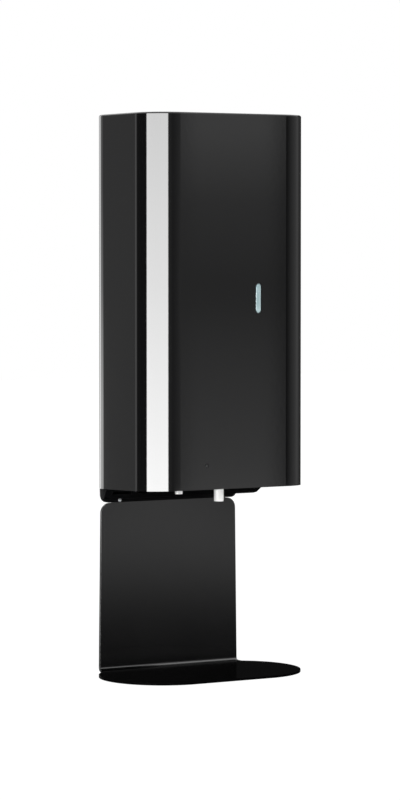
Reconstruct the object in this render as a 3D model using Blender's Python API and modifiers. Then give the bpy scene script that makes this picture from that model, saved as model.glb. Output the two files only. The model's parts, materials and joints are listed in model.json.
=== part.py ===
"""Touch-free wall soap dispenser with a drip tray.

Frame: +X to the right seen from the front, -Y to the front, +Z up. The origin is the middle of the
base's back face, which lies on the wall. Heights are written as a drop below the cover's top.
"""

import math

import bmesh
import bpy
from mathutils import Matrix, Vector

# Driving dimensions of the whole dispenser, in metres
cover_width = 0.1657
cover_depth = 0.113
cover_height = 0.327
corner_radius = 0.0290
top_height = 0.170
rear_edge_drop = 0.0035
cover_sheet = 0.0012
cover_edge_round = 0.0016
cover_flange = 0.0070
base_width_share = 0.8473
base_drop = 0.3440
tray_half_width = 0.0952
tray_depth = 0.1135
tray_round = 0.0565
tray_drop = 0.4961
tray_sheet = 0.0022

# Clearances, in metres
fit_gap = 0.0003
edge_gap = 0.0006
layer_gap = 0.0007
overrun = 0.0020

# Pump line, shared by the refill, the carriage and the pan
pump_inset = 0.025
pump_forward = cover_depth - pump_inset
stem_radius = 0.0040
nozzle_radius = 0.0043
nozzle_drop = 0.3397
pump_travel = 0.010

# Levels of the shelf, carriage and pan
shelf_drop = 0.216
shelf_thickness = 0.003
bar_drop = 0.284
bar_thickness = 0.008
pan_drop = 0.3185
pan_thickness = 0.003

# Gear train
rack_module = 0.0010
drive_module = 0.0008
pressure_angle = math.radians(25)
rack_pinion_teeth = 12
output_teeth = 32
idler_pinion_teeth = 12
idler_teeth = 36
motor_teeth = 10
backlash = 0.00012
addendum_share = 0.90
dedendum_share = 1.20
play_share = 0.05
wheel_steps = 1
pinion_steps = 2
axle_radius = 0.0015

# Counts of facets
round_steps = 16
fine_steps = 24
small_steps = 12
corner_steps = 8

# Distances below which points of a curve or a turned shape become one
curve_weld = 0.000002
turn_weld = 0.00001


def level(drop):
    return top_height - drop


half_width = cover_width / 2
base_width = cover_width * base_width_share
half_base = base_width / 2
arc_reach = half_base - (half_width - corner_radius)
cover_rear = corner_radius - math.sqrt(corner_radius ** 2 - arc_reach ** 2)
plate_depth = cover_rear - fit_gap
tray_radius = min(tray_round, tray_depth / 2 - edge_gap)
tray_arc = half_base - (tray_half_width - tray_radius)
tray_rear = tray_radius - math.sqrt(tray_radius ** 2 - tray_arc ** 2) - overrun
cover_inner_half = half_width - cover_sheet
cover_front_inner = cover_depth - cover_sheet


def cover_bottom(forward):
    """Height of the cover's lower edge at a distance forward of the wall."""
    return level(cover_height) - rear_edge_drop * (cover_depth - forward) / cover_depth


# Scene and collections
for old in list(bpy.data.objects):
    bpy.data.objects.remove(old, do_unlink=True)

part_collection = bpy.data.collections.new("soap_dispenser")
tool_collection = bpy.data.collections.new("cutters")
bpy.context.scene.collection.children.link(part_collection)
bpy.context.scene.collection.children.link(tool_collection)


def make_material(name, colour, roughness, metallic):
    material = bpy.data.materials.new(name)
    material.use_nodes = True
    shader = material.node_tree.nodes["Principled BSDF"]
    shader.inputs["Base Color"].default_value = (*colour, 1.0)
    shader.inputs["Roughness"].default_value = roughness
    shader.inputs["Metallic"].default_value = metallic
    return material


black_paint = make_material("black_paint", (0.012, 0.012, 0.013), 0.12, 0.0)
black_plastic = make_material("black_plastic", (0.014, 0.014, 0.015), 0.45, 0.0)
black_sheet = make_material("black_sheet", (0.016, 0.016, 0.017), 0.30, 0.0)
white_plastic = make_material("white_plastic", (0.85, 0.85, 0.84), 0.30, 0.0)
window_plastic = make_material("window_plastic", (0.46, 0.50, 0.53), 0.20, 0.0)
bottle_plastic = make_material("bottle_plastic", (0.72, 0.76, 0.78), 0.35, 0.0)
grey_plastic = make_material("grey_plastic", (0.30, 0.31, 0.32), 0.50, 0.0)
gear_plastic = make_material("gear_plastic", (0.82, 0.80, 0.74), 0.40, 0.0)
steel = make_material("steel", (0.60, 0.60, 0.60), 0.25, 1.0)
zinc_plate = make_material("zinc_plate", (0.55, 0.56, 0.58), 0.40, 1.0)
brass = make_material("brass", (0.70, 0.52, 0.22), 0.30, 1.0)
board_green = make_material("board_green", (0.02, 0.16, 0.07), 0.45, 0.0)
cell_wrap = make_material("cell_wrap", (0.10, 0.11, 0.13), 0.30, 0.0)


def add_object(name, mesh, material=None):
    """Link a mesh as a piece of the dispenser, or as a tool where it has no material."""
    thing = bpy.data.objects.new(name, mesh)
    if material is None:
        tool_collection.objects.link(thing)
        thing.hide_render = True
        thing.display_type = "WIRE"
    else:
        part_collection.objects.link(thing)
        mesh.materials.append(material)
        mesh.shade_smooth()
        mesh.set_sharp_from_angle(angle=math.radians(30))
    return thing


def mesh_from(bm, name):
    mesh = bpy.data.meshes.new(name)
    bm.to_mesh(mesh)
    bm.free()
    return mesh


def block_bmesh(low, high):
    low = Vector(low)
    high = Vector(high)
    bm = bmesh.new()
    placed = Matrix.Translation((low + high) / 2) @ Matrix.Diagonal((*(high - low), 1))
    bmesh.ops.create_cube(bm, size=1, matrix=placed)
    return bm


def edges_along(bm, axis):
    """Edges that run along one axis, numbered 0 to 2."""
    found = []
    for edge in bm.edges:
        run = (edge.verts[1].co - edge.verts[0].co).normalized()
        if abs(run[axis]) > 0.999:
            found.append(edge)
    return found


def round_edges(bm, edges, radius, steps):
    bmesh.ops.bevel(bm, geom=edges, offset=radius, segments=steps, affect="EDGES", profile=0.5,
                    clamp_overlap=True)


def block(name, low, high, material=None, radius=0.0, axis=2, steps=3):
    """A box, with the four edges along one axis rounded where a radius is given."""
    bm = block_bmesh(low, high)
    if radius > 0:
        round_edges(bm, edges_along(bm, axis), radius, steps)
    return add_object(name, mesh_from(bm, name), material)


def turn_to(axis):
    """Rotation that takes local Z to the given world axis."""
    return Vector((0, 0, 1)).rotation_difference(Vector(axis)).to_euler()


def rod(name, radius, start, end, material=None, steps=round_steps, end_radius=None):
    """A round bar or cone between two points, with its origin at the start."""
    start = Vector(start)
    run = Vector(end) - start
    bm = bmesh.new()
    bmesh.ops.create_cone(bm, cap_ends=True, segments=steps, radius1=radius,
                          radius2=radius if end_radius is None else end_radius, depth=run.length,
                          matrix=Matrix.Translation((0, 0, run.length / 2)))
    thing = add_object(name, mesh_from(bm, name), material)
    thing.location = start
    thing.rotation_euler = turn_to(run.normalized())
    return thing


def turned(name, profile, centre, axis, material=None, steps=fine_steps):
    """A turned piece: radius and height pairs, from the top down the outer side, or a closed ring."""
    mesh = bpy.data.meshes.new(name)
    points = [(radius, 0, height) for radius, height in profile]
    edges = [(i, i + 1) for i in range(len(points) - 1)]
    if points[0] == points[-1]:
        points.pop()
        edges[-1] = (len(points) - 1, 0)
    mesh.from_pydata(points, edges, [])
    thing = add_object(name, mesh, material)
    spin = thing.modifiers.new("turn", "SCREW")
    spin.axis = "Z"
    spin.angle = math.tau
    spin.steps = steps
    spin.render_steps = steps
    spin.use_merge_vertices = True
    spin.merge_threshold = turn_weld
    thing.location = centre
    thing.rotation_euler = turn_to(axis)
    return thing


front_view = Matrix(((1, 0, 0), (0, 0, -1), (0, 1, 0)))
side_view = Matrix(((0, 0, 1), (1, 0, 0), (0, 1, 0)))
plan_view = Matrix.Identity(3)


def flat_piece(name, outline, thickness, centre, view=plan_view, material=None):
    """An outline given thickness about its centre plane, from a filled 2D curve."""
    curve = bpy.data.curves.new(name, "CURVE")
    curve.dimensions = "2D"
    curve.fill_mode = "BOTH"
    curve.extrude = thickness / 2
    spline = curve.splines.new("POLY")
    spline.points.add(len(outline) - 1)
    for point, (across, up) in zip(spline.points, outline):
        point.co = (across, up, 0, 1)
    spline.use_cyclic_u = True
    return weld_curve(name, curve, centre, view, material, True)


def weld_curve(name, curve, centre, view, material, flat_caps):
    """Turn a curve with caps into one closed mesh."""
    holder = bpy.data.objects.new(name + "_curve", curve)
    tool_collection.objects.link(holder)
    bpy.context.view_layer.update()
    graph = bpy.context.evaluated_depsgraph_get()
    mesh = bpy.data.meshes.new_from_object(holder.evaluated_get(graph))
    bpy.data.objects.remove(holder)
    bpy.data.curves.remove(curve)
    bm = bmesh.new()
    bm.from_mesh(mesh)
    bmesh.ops.remove_doubles(bm, verts=bm.verts, dist=curve_weld)
    if flat_caps:
        bmesh.ops.dissolve_limit(bm, angle_limit=0.001, verts=bm.verts, edges=bm.edges)
    bm.to_mesh(mesh)
    bm.free()
    mesh.materials.clear()
    thing = add_object(name, mesh, material)
    thing.location = centre
    thing.rotation_euler = view.to_euler()
    return thing


def wire(name, points, radius, material, sides=1):
    """A bent round wire through the points."""
    curve = bpy.data.curves.new(name, "CURVE")
    curve.dimensions = "3D"
    curve.bevel_depth = radius
    curve.bevel_resolution = sides
    curve.use_fill_caps = True
    spline = curve.splines.new("POLY")
    spline.points.add(len(points) - 1)
    for point, place in zip(spline.points, points):
        point.co = (*place, 1)
    return weld_curve(name, curve, (0, 0, 0), plan_view, material, False)


def boolean(thing, tool, operation):
    modifier = thing.modifiers.new(operation.lower() + "_" + tool.name, "BOOLEAN")
    modifier.operation = operation
    modifier.solver = "EXACT"
    modifier.object = tool


def cut(thing, *tools):
    for tool in tools:
        boolean(thing, tool, "DIFFERENCE")


def join(thing, *tools):
    for tool in tools:
        boolean(thing, tool, "UNION")


def rounded_outline(low, high, radii, steps=corner_steps):
    """Rectangle with its own radius at each corner: low left, low right, high right, high left."""
    corners = ((low[0], low[1], 1, 1), (high[0], low[1], -1, 1),
               (high[0], high[1], -1, -1), (low[0], high[1], 1, -1))
    points = []
    for index, (x, y, inward_x, inward_y) in enumerate(corners):
        radius = radii[index]
        if radius == 0:
            points.append((x, y))
            continue
        for step in range(steps + 1):
            angle = math.pi + math.pi / 2 * (index + step / steps)
            points.append((x + inward_x * radius + radius * math.cos(angle),
                           y + inward_y * radius + radius * math.sin(angle)))
    return points


def footprint_block(name, half, front, low, high, radius, material=None):
    """The dispenser's rounded footprint, from the wall to the front, given a height."""
    outline = rounded_outline((-half, -front), (half, 0), (radius,) * 4)
    return flat_piece(name, outline, high - low, (0, 0, (low + high) / 2), plan_view, material)


def set_origin(thing, point):
    """Move an object's origin and leave its shape where it is."""
    point = Vector(point)
    thing.data.transform(Matrix.Translation(-point))
    thing.location = thing.location + point


# Hinge line of the cover
hinge_drop = 0.0055
hinge_back = 0.0065
hinge_pin_radius = 0.0015
hinge_lug_radius = 0.0035
hinge_ear_width = 0.0040
hinge_inset = 0.0255
hinge_place = half_base - hinge_inset
hinge_pin_end = 0.0010
base_top_clear = hinge_lug_radius + edge_gap
hinge_z = level(hinge_drop)
lug_place = hinge_place + hinge_ear_width + edge_gap
sides = (-1, 1)
side_name = {-1: "left", 1: "right"}


def hinge_boss(name, middle, low_z, high_z):
    """A round boss on the hinge line and the web that ties it to its carrier."""
    low = middle - hinge_ear_width / 2
    high = middle + hinge_ear_width / 2
    boss = rod(name, hinge_lug_radius, (low, -hinge_back, hinge_z), (high, -hinge_back, hinge_z))
    web = block(name + "_web", (low, -hinge_back - hinge_lug_radius, low_z),
                (high, -hinge_back + hinge_lug_radius / 4, high_z))
    return boss, web


def hinge_hole(name, middle):
    reach = hinge_ear_width / 2 + overrun
    return rod(name, hinge_pin_radius + fit_gap, (middle - reach, -hinge_back, hinge_z),
               (middle + reach, -hinge_back, hinge_z))


# Cover: slit, key hole, strike and open underside
slit_x = 0.0256
slit_drop = 0.1610
slit_width = 0.0062
slit_height = 0.0262
key_x = -0.0276
key_drop = 0.3062
key_radius = 0.0019
strike_x = -0.0135
strike_width = 0.0050
strike_height = 0.0060
strike_reach = 0.0080

# Space inside that the cover's rear edges sweep past
rear_clear = 0.0025
internal_half = half_base - rear_clear
shelf_half = internal_half - overrun
flange_clear = internal_half + edge_gap

# Slit insert
window_rim = 0.0035
window_back = 0.0010
window_recess = 0.0002


def stadium(width, height):
    """Upright slot outline with round ends."""
    radius = width / 2
    return rounded_outline((-width / 2, -height / 2), (width / 2, height / 2), (radius,) * 4,
                           corner_steps // 2)


def make_front_cover():
    bm = block_bmesh((-half_width, -cover_depth, cover_bottom(0)), (half_width, 0, top_height))
    for vert in bm.verts:
        if vert.co.z < top_height / 2:
            vert.co.z = cover_bottom(-vert.co.y)
    round_edges(bm, edges_along(bm, 2), corner_radius, corner_steps)
    top_edges = [edge for edge in bm.edges if all(v.co.z > top_height - fit_gap for v in edge.verts)]
    round_edges(bm, top_edges, cover_edge_round, 2)
    rear = [face for face in bm.faces if all(v.co.y > -fit_gap for v in face.verts)]
    bmesh.ops.delete(bm, geom=rear, context="FACES")
    cover = add_object("front_cover", mesh_from(bm, "front_cover"), black_paint)
    set_origin(cover, (0, -hinge_back, hinge_z))
    wall = cover.modifiers.new("sheet", "SOLIDIFY")
    wall.thickness = cover_sheet
    wall.offset = -1
    wall.use_even_offset = True

    reach = half_width + overrun
    bottom = cover_bottom(0) - overrun
    behind = block("cover_rear_cut", (-reach, -cover_rear, bottom), (reach, overrun, top_height + overrun))
    under = block("cover_underside_cut", (-flange_clear, cover_flange - cover_depth, bottom),
                  (flange_clear, overrun, level(cover_height) + cover_sheet + overrun))
    slit = flat_piece("slit_cut", stadium(slit_width, slit_height), cover_sheet + 2 * overrun,
                      (slit_x, -cover_depth, level(slit_drop)), front_view)
    key_hole = rod("key_hole_cut", key_radius, (key_x, -cover_depth - overrun, level(key_drop)),
                   (key_x, overrun - cover_front_inner, level(key_drop)))
    cut(cover, behind, under, slit, key_hole)

    strike_z = level(key_drop) - strike_height / 2
    strike = block("strike", (strike_x - strike_width / 2, -cover_front_inner - cover_sheet / 2, strike_z),
                   (strike_x + strike_width / 2, strike_reach - cover_front_inner,
                    strike_z + strike_height))
    join(cover, strike)
    for side in sides:
        boss, web = hinge_boss("cover_lug", side * lug_place, hinge_z, top_height - cover_sheet / 2)
        join(cover, boss, web)
        cut(cover, hinge_hole("cover_lug_hole", side * lug_place))
    return cover


def make_level_window(cover):
    back = -cover_front_inner + fit_gap
    half = slit_width / 2 + window_rim
    reach = slit_height / 2 + window_rim
    window = block("level_window", (slit_x - half, back, level(slit_drop) - reach),
                   (slit_x + half, back + window_back, level(slit_drop) + reach),
                   window_plastic, window_rim, 1)
    front = -cover_depth + window_recess
    deep = back + window_back / 2 - front
    insert = flat_piece("window_insert", stadium(slit_width - 2 * edge_gap, slit_height - 2 * edge_gap),
                        deep, (slit_x, front + deep / 2, level(slit_drop)), front_view)
    join(window, insert)
    set_origin(window, cover.location)
    return window


# Wall base: plate, chin below the cover, ribs, posts and holes
chin_drop = 0.3396
chin_front = 0.0345
chin_taper = 0.0026
chin_front_taper = 0.0100
chin_round = 0.0030
chin_wall = 0.0025
chin_pockets_share = (-0.90, -0.66, -0.58, 0.58, 0.66, 0.90)
base_corner = 0.0020
base_low_corner = 0.0060
ear_drop = 0.0140
rail_thickness = 0.0025
rail_front = 0.016
rail_end_drop = 0.022
wall_hole_radius = 0.00275
wall_hole_sink = 0.0045
upper_hole = (0.045, 0.060)
lower_hole = (0.030, 0.290)
tongue_half = 0.059
tongue_drop = 0.262
gusset_x = 0.050
gusset_thickness = 0.003
gusset_front = 0.0275
bracket_screw_inset = 0.006
bracket_screw = (tongue_half - bracket_screw_inset, 0.3422)
bracket_screw_radius = 0.0009
bracket_screw_head = 0.0017
bracket_screw_height = 0.0009

# Gearbox frame, from the wall outwards
gear_train_reach = 0.037
gear_rear_face = pump_forward - gear_train_reach
gear_plate_sheet = 0.0020
drive_layer = 0.0040
middle_layer = 0.0046
front_layer = 0.0058
gear_plate_left = 0.0135
gear_plate_right = shelf_half - overrun
gear_plate_top = 0.2355
gear_plate_foot = 0.3025
post_inset = 0.0035
post_radius = 0.0030
pillar_radius = 0.0025
rack_line = 0.012
output_drop = 0.279
idler_angle = math.radians(35)
motor_angle = math.radians(60)

drive_y = gear_rear_face + gear_plate_sheet + layer_gap
middle_y = drive_y + drive_layer + layer_gap
front_y = middle_y + middle_layer + layer_gap
gear_front_face = front_y + front_layer + layer_gap

rack_pinion_radius = rack_pinion_teeth * rack_module / 2
output_radius = output_teeth * rack_module / 2
idler_pinion_radius = idler_pinion_teeth * rack_module / 2
idler_radius = idler_teeth * drive_module / 2
motor_pinion_radius = motor_teeth * drive_module / 2
output_place = (rack_line + rack_pinion_radius, level(output_drop))
idler_reach = output_radius + idler_pinion_radius
idler_place = (output_place[0] + idler_reach * math.cos(idler_angle),
               output_place[1] + idler_reach * math.sin(idler_angle))
motor_reach = idler_radius + motor_pinion_radius
motor_place = (idler_place[0] + motor_reach * math.cos(motor_angle),
               idler_place[1] + motor_reach * math.sin(motor_angle))
post_places = [(x, level(drop))
               for x in (gear_plate_left + post_inset, gear_plate_right - post_inset)
               for drop in (gear_plate_top + post_inset, gear_plate_foot - post_inset)]

# Circuit board
board_low = (-0.0240, 0.298)
board_high = (0.0100, 0.236)
board_back = 0.0120
board_sheet = 0.0014
board_post_radius = 0.0025
board_post_inset = 0.0060
board_post_x = (board_low[0] + board_high[0]) / 2
board_posts = ((board_post_x, level(board_high[1] + board_post_inset)),
               (board_post_x, level(board_low[1] - board_post_inset)))


def make_chin():
    """The part of the base below the cover: its footprint drawn in towards the underside."""
    bm = block_bmesh((-half_width, -chin_front, level(chin_drop)), (half_width, 0, level(cover_height)))
    rear = [edge for edge in edges_along(bm, 2) if edge.verts[0].co.y > -fit_gap]
    round_edges(bm, rear, corner_radius, corner_steps)
    middle = (level(chin_drop) + level(cover_height)) / 2
    for vert in bm.verts:
        if vert.co.z > middle:
            vert.co.z = cover_bottom(-vert.co.y) - edge_gap
        else:
            vert.co.x *= 1 - chin_taper / half_width
            vert.co.y *= 1 - chin_front_taper / chin_front
    low_edges = [edge for edge in bm.edges if all(v.co.z < middle for v in edge.verts)]
    front_low = [edge for edge in low_edges if any(v.co.y < -fit_gap for v in edge.verts)]
    round_edges(bm, front_low, chin_round, 2)
    return add_object("chin", mesh_from(bm, "chin"))


def through_hole(name, x, z, radius):
    return rod(name, radius, (x, -plate_depth - overrun, z), (x, overrun, z))


def make_wall_base():
    top = hinge_z - base_top_clear
    outline = rounded_outline((-half_base, level(base_drop)), (half_base, top),
                              (base_low_corner, base_low_corner, base_corner, base_corner),
                              corner_steps // 2)
    base = flat_piece("wall_base", outline, plate_depth, (0, -plate_depth / 2, 0), front_view,
                      black_plastic)
    join(base, make_chin())
    for index in range(0, len(chin_pockets_share), 2):
        low_x = chin_pockets_share[index] * half_width
        high_x = chin_pockets_share[index + 1] * half_width
        pocket = block("chin_pocket", (low_x, chin_wall - chin_front, level(chin_drop) + 2 * chin_wall),
                       (high_x, -plate_depth - chin_wall, level(cover_height) + overrun))
        cut(base, pocket)

    middle = -plate_depth / 2
    for side in sides:
        boss = hinge_boss("base_ear", side * hinge_place, hinge_z - hinge_lug_radius, hinge_z)[0]
        low_x = side * hinge_place - hinge_ear_width / 2
        web = block("base_ear_foot", (low_x, -hinge_back - hinge_lug_radius, hinge_z - ear_drop),
                    (low_x + hinge_ear_width, middle, hinge_z))
        join(base, boss, web)
        cut(base, hinge_hole("base_ear_hole", side * hinge_place))
        rail_x = side * (shelf_half - rail_thickness / 2)
        rail = block("side_rail", (rail_x - rail_thickness / 2, -rail_front, level(shelf_drop) + ear_drop),
                     (rail_x + rail_thickness / 2, middle, level(rail_end_drop)))
        gusset_low = side * gusset_x - gusset_thickness / 2
        gusset = block("pan_gusset", (gusset_low, -gusset_front, cover_bottom(gusset_front) - overrun),
                       (gusset_low + gusset_thickness, middle, level(pan_drop + pan_thickness) - fit_gap))
        join(base, rail, gusset)
    for x, z in post_places:
        join(base, rod("gear_post", post_radius, (x, middle, z), (x, fit_gap - gear_rear_face, z), None,
                       small_steps))
    for x, z in board_posts:
        join(base, rod("board_post", board_post_radius, (x, middle, z), (x, fit_gap - board_back, z), None,
                       small_steps))

    recess = block("tongue_recess", (-tongue_half - fit_gap, -tray_sheet - fit_gap,
                                     level(base_drop) - overrun),
                   (tongue_half + fit_gap, overrun, level(tongue_drop) + fit_gap))
    cut(base, recess)
    for side in sides:
        for x, drop in (upper_hole, lower_hole):
            cut(base, through_hole("wall_hole", side * x, level(drop), wall_hole_radius))
            sink_depth = wall_hole_sink - wall_hole_radius
            cut(base, rod("wall_hole_sink", wall_hole_radius,
                          (side * x, sink_depth - plate_depth, level(drop)),
                          (side * x, -plate_depth - sink_depth, level(drop)), None, round_steps,
                          2 * wall_hole_sink - wall_hole_radius))
        x, drop = bracket_screw
        cut(base, through_hole("bracket_screw_hole", side * x, level(drop), bracket_screw_radius + fit_gap))
    return base


def make_hinge_pins():
    for side in sides:
        inner = side * (hinge_place - hinge_ear_width / 2 - hinge_pin_end)
        outer = side * (lug_place + hinge_ear_width / 2 + hinge_pin_end)
        rod("hinge_pin_" + side_name[side], hinge_pin_radius, (inner, -hinge_back, hinge_z),
            (outer, -hinge_back, hinge_z), steel, small_steps)


# Drip tray bracket
bend_radius = 0.0025
shoulder_drop = 0.3446
shoulder_radius = 0.0090


def make_tray_bracket():
    """One bent sheet: the upright on the wall with its tongue behind the base, and the tray."""
    tray_z = level(tray_drop)
    outer = bend_radius + tray_sheet
    bend_run = tray_rear + 2 * overrun - outer
    profile = []
    for step in range(corner_steps // 2 + 1):
        angle = math.pi / 2 * step / (corner_steps // 2)
        profile.append((-outer + outer * math.cos(angle), tray_z + outer - outer * math.sin(angle)))
    profile += [(-outer - bend_run, tray_z), (-outer - bend_run, tray_z + tray_sheet)]
    for step in range(corner_steps // 2 + 1):
        angle = math.pi / 2 * (1 - step / (corner_steps // 2))
        profile.append((-outer + bend_radius * math.cos(angle),
                        tray_z + outer - bend_radius * math.sin(angle)))
    profile += [(-tray_sheet, tray_z + outer + bend_run), (0, tray_z + outer + bend_run)]
    bracket = flat_piece("tray_bracket", profile, base_width, (0, 0, 0), side_view, black_sheet)

    upright_low = tray_z + outer + bend_run / 2
    upright = flat_piece("upright", rounded_outline((-half_base, upright_low),
                                                    (half_base, level(shoulder_drop)),
                                                    (0, 0, shoulder_radius, shoulder_radius)),
                         tray_sheet, (0, -tray_sheet / 2, 0), front_view)
    tongue = flat_piece("tongue", rounded_outline((-tongue_half, level(shoulder_drop) - shoulder_radius),
                                                  (tongue_half, level(tongue_drop)),
                                                  (0, 0, shoulder_radius, shoulder_radius)),
                        tray_sheet, (0, -tray_sheet / 2, 0), front_view)
    tray = footprint_block("tray", tray_half_width, tray_depth, tray_z, tray_z + tray_sheet, tray_radius)
    trim = block("tray_rear_trim", (-tray_half_width, -tray_rear, tray_z - overrun),
                 (tray_half_width, overrun, tray_z + tray_sheet + overrun))
    cut(tray, trim)
    join(bracket, upright, tongue, tray)
    for side in sides:
        x, drop = lower_hole
        cut(bracket, through_hole("bracket_wall_hole", side * x, level(drop), wall_hole_radius))
        x, drop = bracket_screw
        cut(bracket, through_hole("bracket_lip_hole", side * x, level(drop),
                                  bracket_screw_radius + fit_gap))
    return bracket


def make_bracket_screws():
    x, drop = bracket_screw
    head_y = -plate_depth - fit_gap
    crown = bracket_screw_height / 3
    profile = ((0, bracket_screw_height), (bracket_screw_head - crown, bracket_screw_height),
               (bracket_screw_head, bracket_screw_height - crown), (bracket_screw_head, 0),
               (bracket_screw_radius, 0), (bracket_screw_radius, -plate_depth), (0, -plate_depth))
    for side in sides:
        turned("bracket_screw_" + side_name[side], profile, (side * x, head_y, level(drop)), (0, -1, 0),
               zinc_plate, 16)


# Refill: bottle, collar and pump barrel
bottle_side_gap = 0.005
bottle_front_gap = 0.006
bottle_behind_pump = 0.043
bottle_half = shelf_half - bottle_side_gap
bottle_front = cover_depth - bottle_front_gap
bottle_back = pump_forward - bottle_behind_pump
bottle_top_drop = 0.016
bottle_shoulder_drop = 0.196
bottle_round = 0.014
bottle_top_round = 0.005
shoulder_share = 0.36
neck_radius = 0.0130
neck_length = 0.0090
collar_radius = 0.0175
collar_floor = 0.0050
barrel_flange = 0.0016
barrel_radius = 0.0110
barrel_drop = 0.262
barrel_bore_rise = 0.022
shelf_top = level(shelf_drop)
shelf_low = shelf_top - shelf_thickness
neck_low = shelf_top - neck_length
barrel_top = neck_low - fit_gap
collar_inside = barrel_top - barrel_flange - fit_gap


def make_refill_bottle():
    bm = block_bmesh((-bottle_half, -bottle_front, level(bottle_shoulder_drop)),
                     (bottle_half, -bottle_back, level(bottle_top_drop)))
    round_edges(bm, edges_along(bm, 2), bottle_round, corner_steps // 2)
    top_edges = [e for e in bm.edges if all(v.co.z > level(bottle_top_drop) - fit_gap for v in e.verts)]
    round_edges(bm, top_edges, bottle_top_round, 2)
    floor = [face for face in bm.faces if face.normal.z < -0.9]
    lower = bmesh.ops.extrude_face_region(bm, geom=floor)
    for vert in [item for item in lower["geom"] if isinstance(item, bmesh.types.BMVert)]:
        vert.co.x *= shoulder_share
        vert.co.y = -pump_forward + (vert.co.y + pump_forward) * shoulder_share
        vert.co.z = shelf_top + fit_gap
    bmesh.ops.delete(bm, geom=floor, context="FACES")
    bottle = add_object("refill_bottle", mesh_from(bm, "refill_bottle"), bottle_plastic)
    neck = rod("bottle_neck", neck_radius, (0, -pump_forward, shelf_top + overrun),
               (0, -pump_forward, neck_low))
    join(bottle, neck)
    return bottle


def make_pump_collar():
    outer_top = shelf_low - fit_gap
    outer_low = collar_inside - collar_floor
    inner = neck_radius + fit_gap
    profile = ((inner, outer_top), (collar_radius, outer_top), (collar_radius, outer_low),
               (barrel_radius + fit_gap, outer_low), (barrel_radius + fit_gap, collar_inside),
               (inner, collar_inside), (inner, outer_top))
    return turned("pump_collar", profile, (0, -pump_forward, 0), (0, 0, 1), white_plastic)


def make_pump_barrel():
    bore = stem_radius + fit_gap
    low = level(barrel_drop)
    profile = ((0, barrel_top), (neck_radius, barrel_top), (neck_radius, barrel_top - barrel_flange),
               (barrel_radius, barrel_top - barrel_flange), (barrel_radius, low), (bore, low),
               (bore, low + barrel_bore_rise), (0, low + barrel_bore_rise))
    return turned("pump_cylinder", profile, (0, -pump_forward, 0), (0, 0, 1), white_plastic)


# Piston and nozzle, gripped by the carriage's fork
fork_thickness = 0.0050
flange_radius = 0.0072
flange_thickness = 0.0018
piston_rise = 0.012
nozzle_start_drop = 0.300
nozzle_edge = 0.0007
nozzle_bore = 0.0018
nozzle_bore_depth = 0.014
fork_middle = level(bar_drop) - bar_thickness / 2
groove_half = fork_thickness / 2 + fit_gap


def make_pump_piston():
    top = level(barrel_drop) + piston_rise
    upper = fork_middle + groove_half
    lower = fork_middle - groove_half
    start = level(nozzle_start_drop)
    tip = level(nozzle_drop)
    profile = ((0, top), (stem_radius, top), (stem_radius, upper + flange_thickness),
               (flange_radius, upper + flange_thickness), (flange_radius, upper), (stem_radius, upper),
               (stem_radius, lower), (flange_radius, lower), (flange_radius, lower - flange_thickness),
               (stem_radius, lower - flange_thickness), (stem_radius, start + nozzle_edge),
               (nozzle_radius, start), (nozzle_radius, tip + nozzle_edge),
               (nozzle_radius - nozzle_edge, tip), (nozzle_bore, tip),
               (nozzle_bore, tip + nozzle_bore_depth), (0, tip + nozzle_bore_depth))
    return turned("pump_piston", profile, (0, -pump_forward, 0), (0, 0, 1), white_plastic, round_steps)


# Shelf, guide rods, carriage and its spring
guide_x = 0.022
guide_radius = 0.0015
boss_radius = 0.0050
spring_boss_drop = 0.256
plain_boss_drop = 0.2345
shelf_flange_up = 0.010
shelf_flange_down = 0.014
shelf_flange_thickness = 0.003
shelf_gusset_x = 0.0585
shelf_gusset_front = 0.060
shelf_corner = 0.010
shelf_lip = 0.006
shelf_lip_thickness = 0.002
bar_half = 0.027
bar_back = gear_front_face + gear_plate_sheet + edge_gap
bar_inset = 0.008
bar_front = pump_forward - bar_inset
bar_middle = (bar_back + bar_front) / 2
prong_outer = 0.0110
prong_reach = 0.0060
leg_back_width = 0.0058
spring_wire = 0.00045
spring_radius = 0.0034
spring_turns = 6
turn_points = 8


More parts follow.
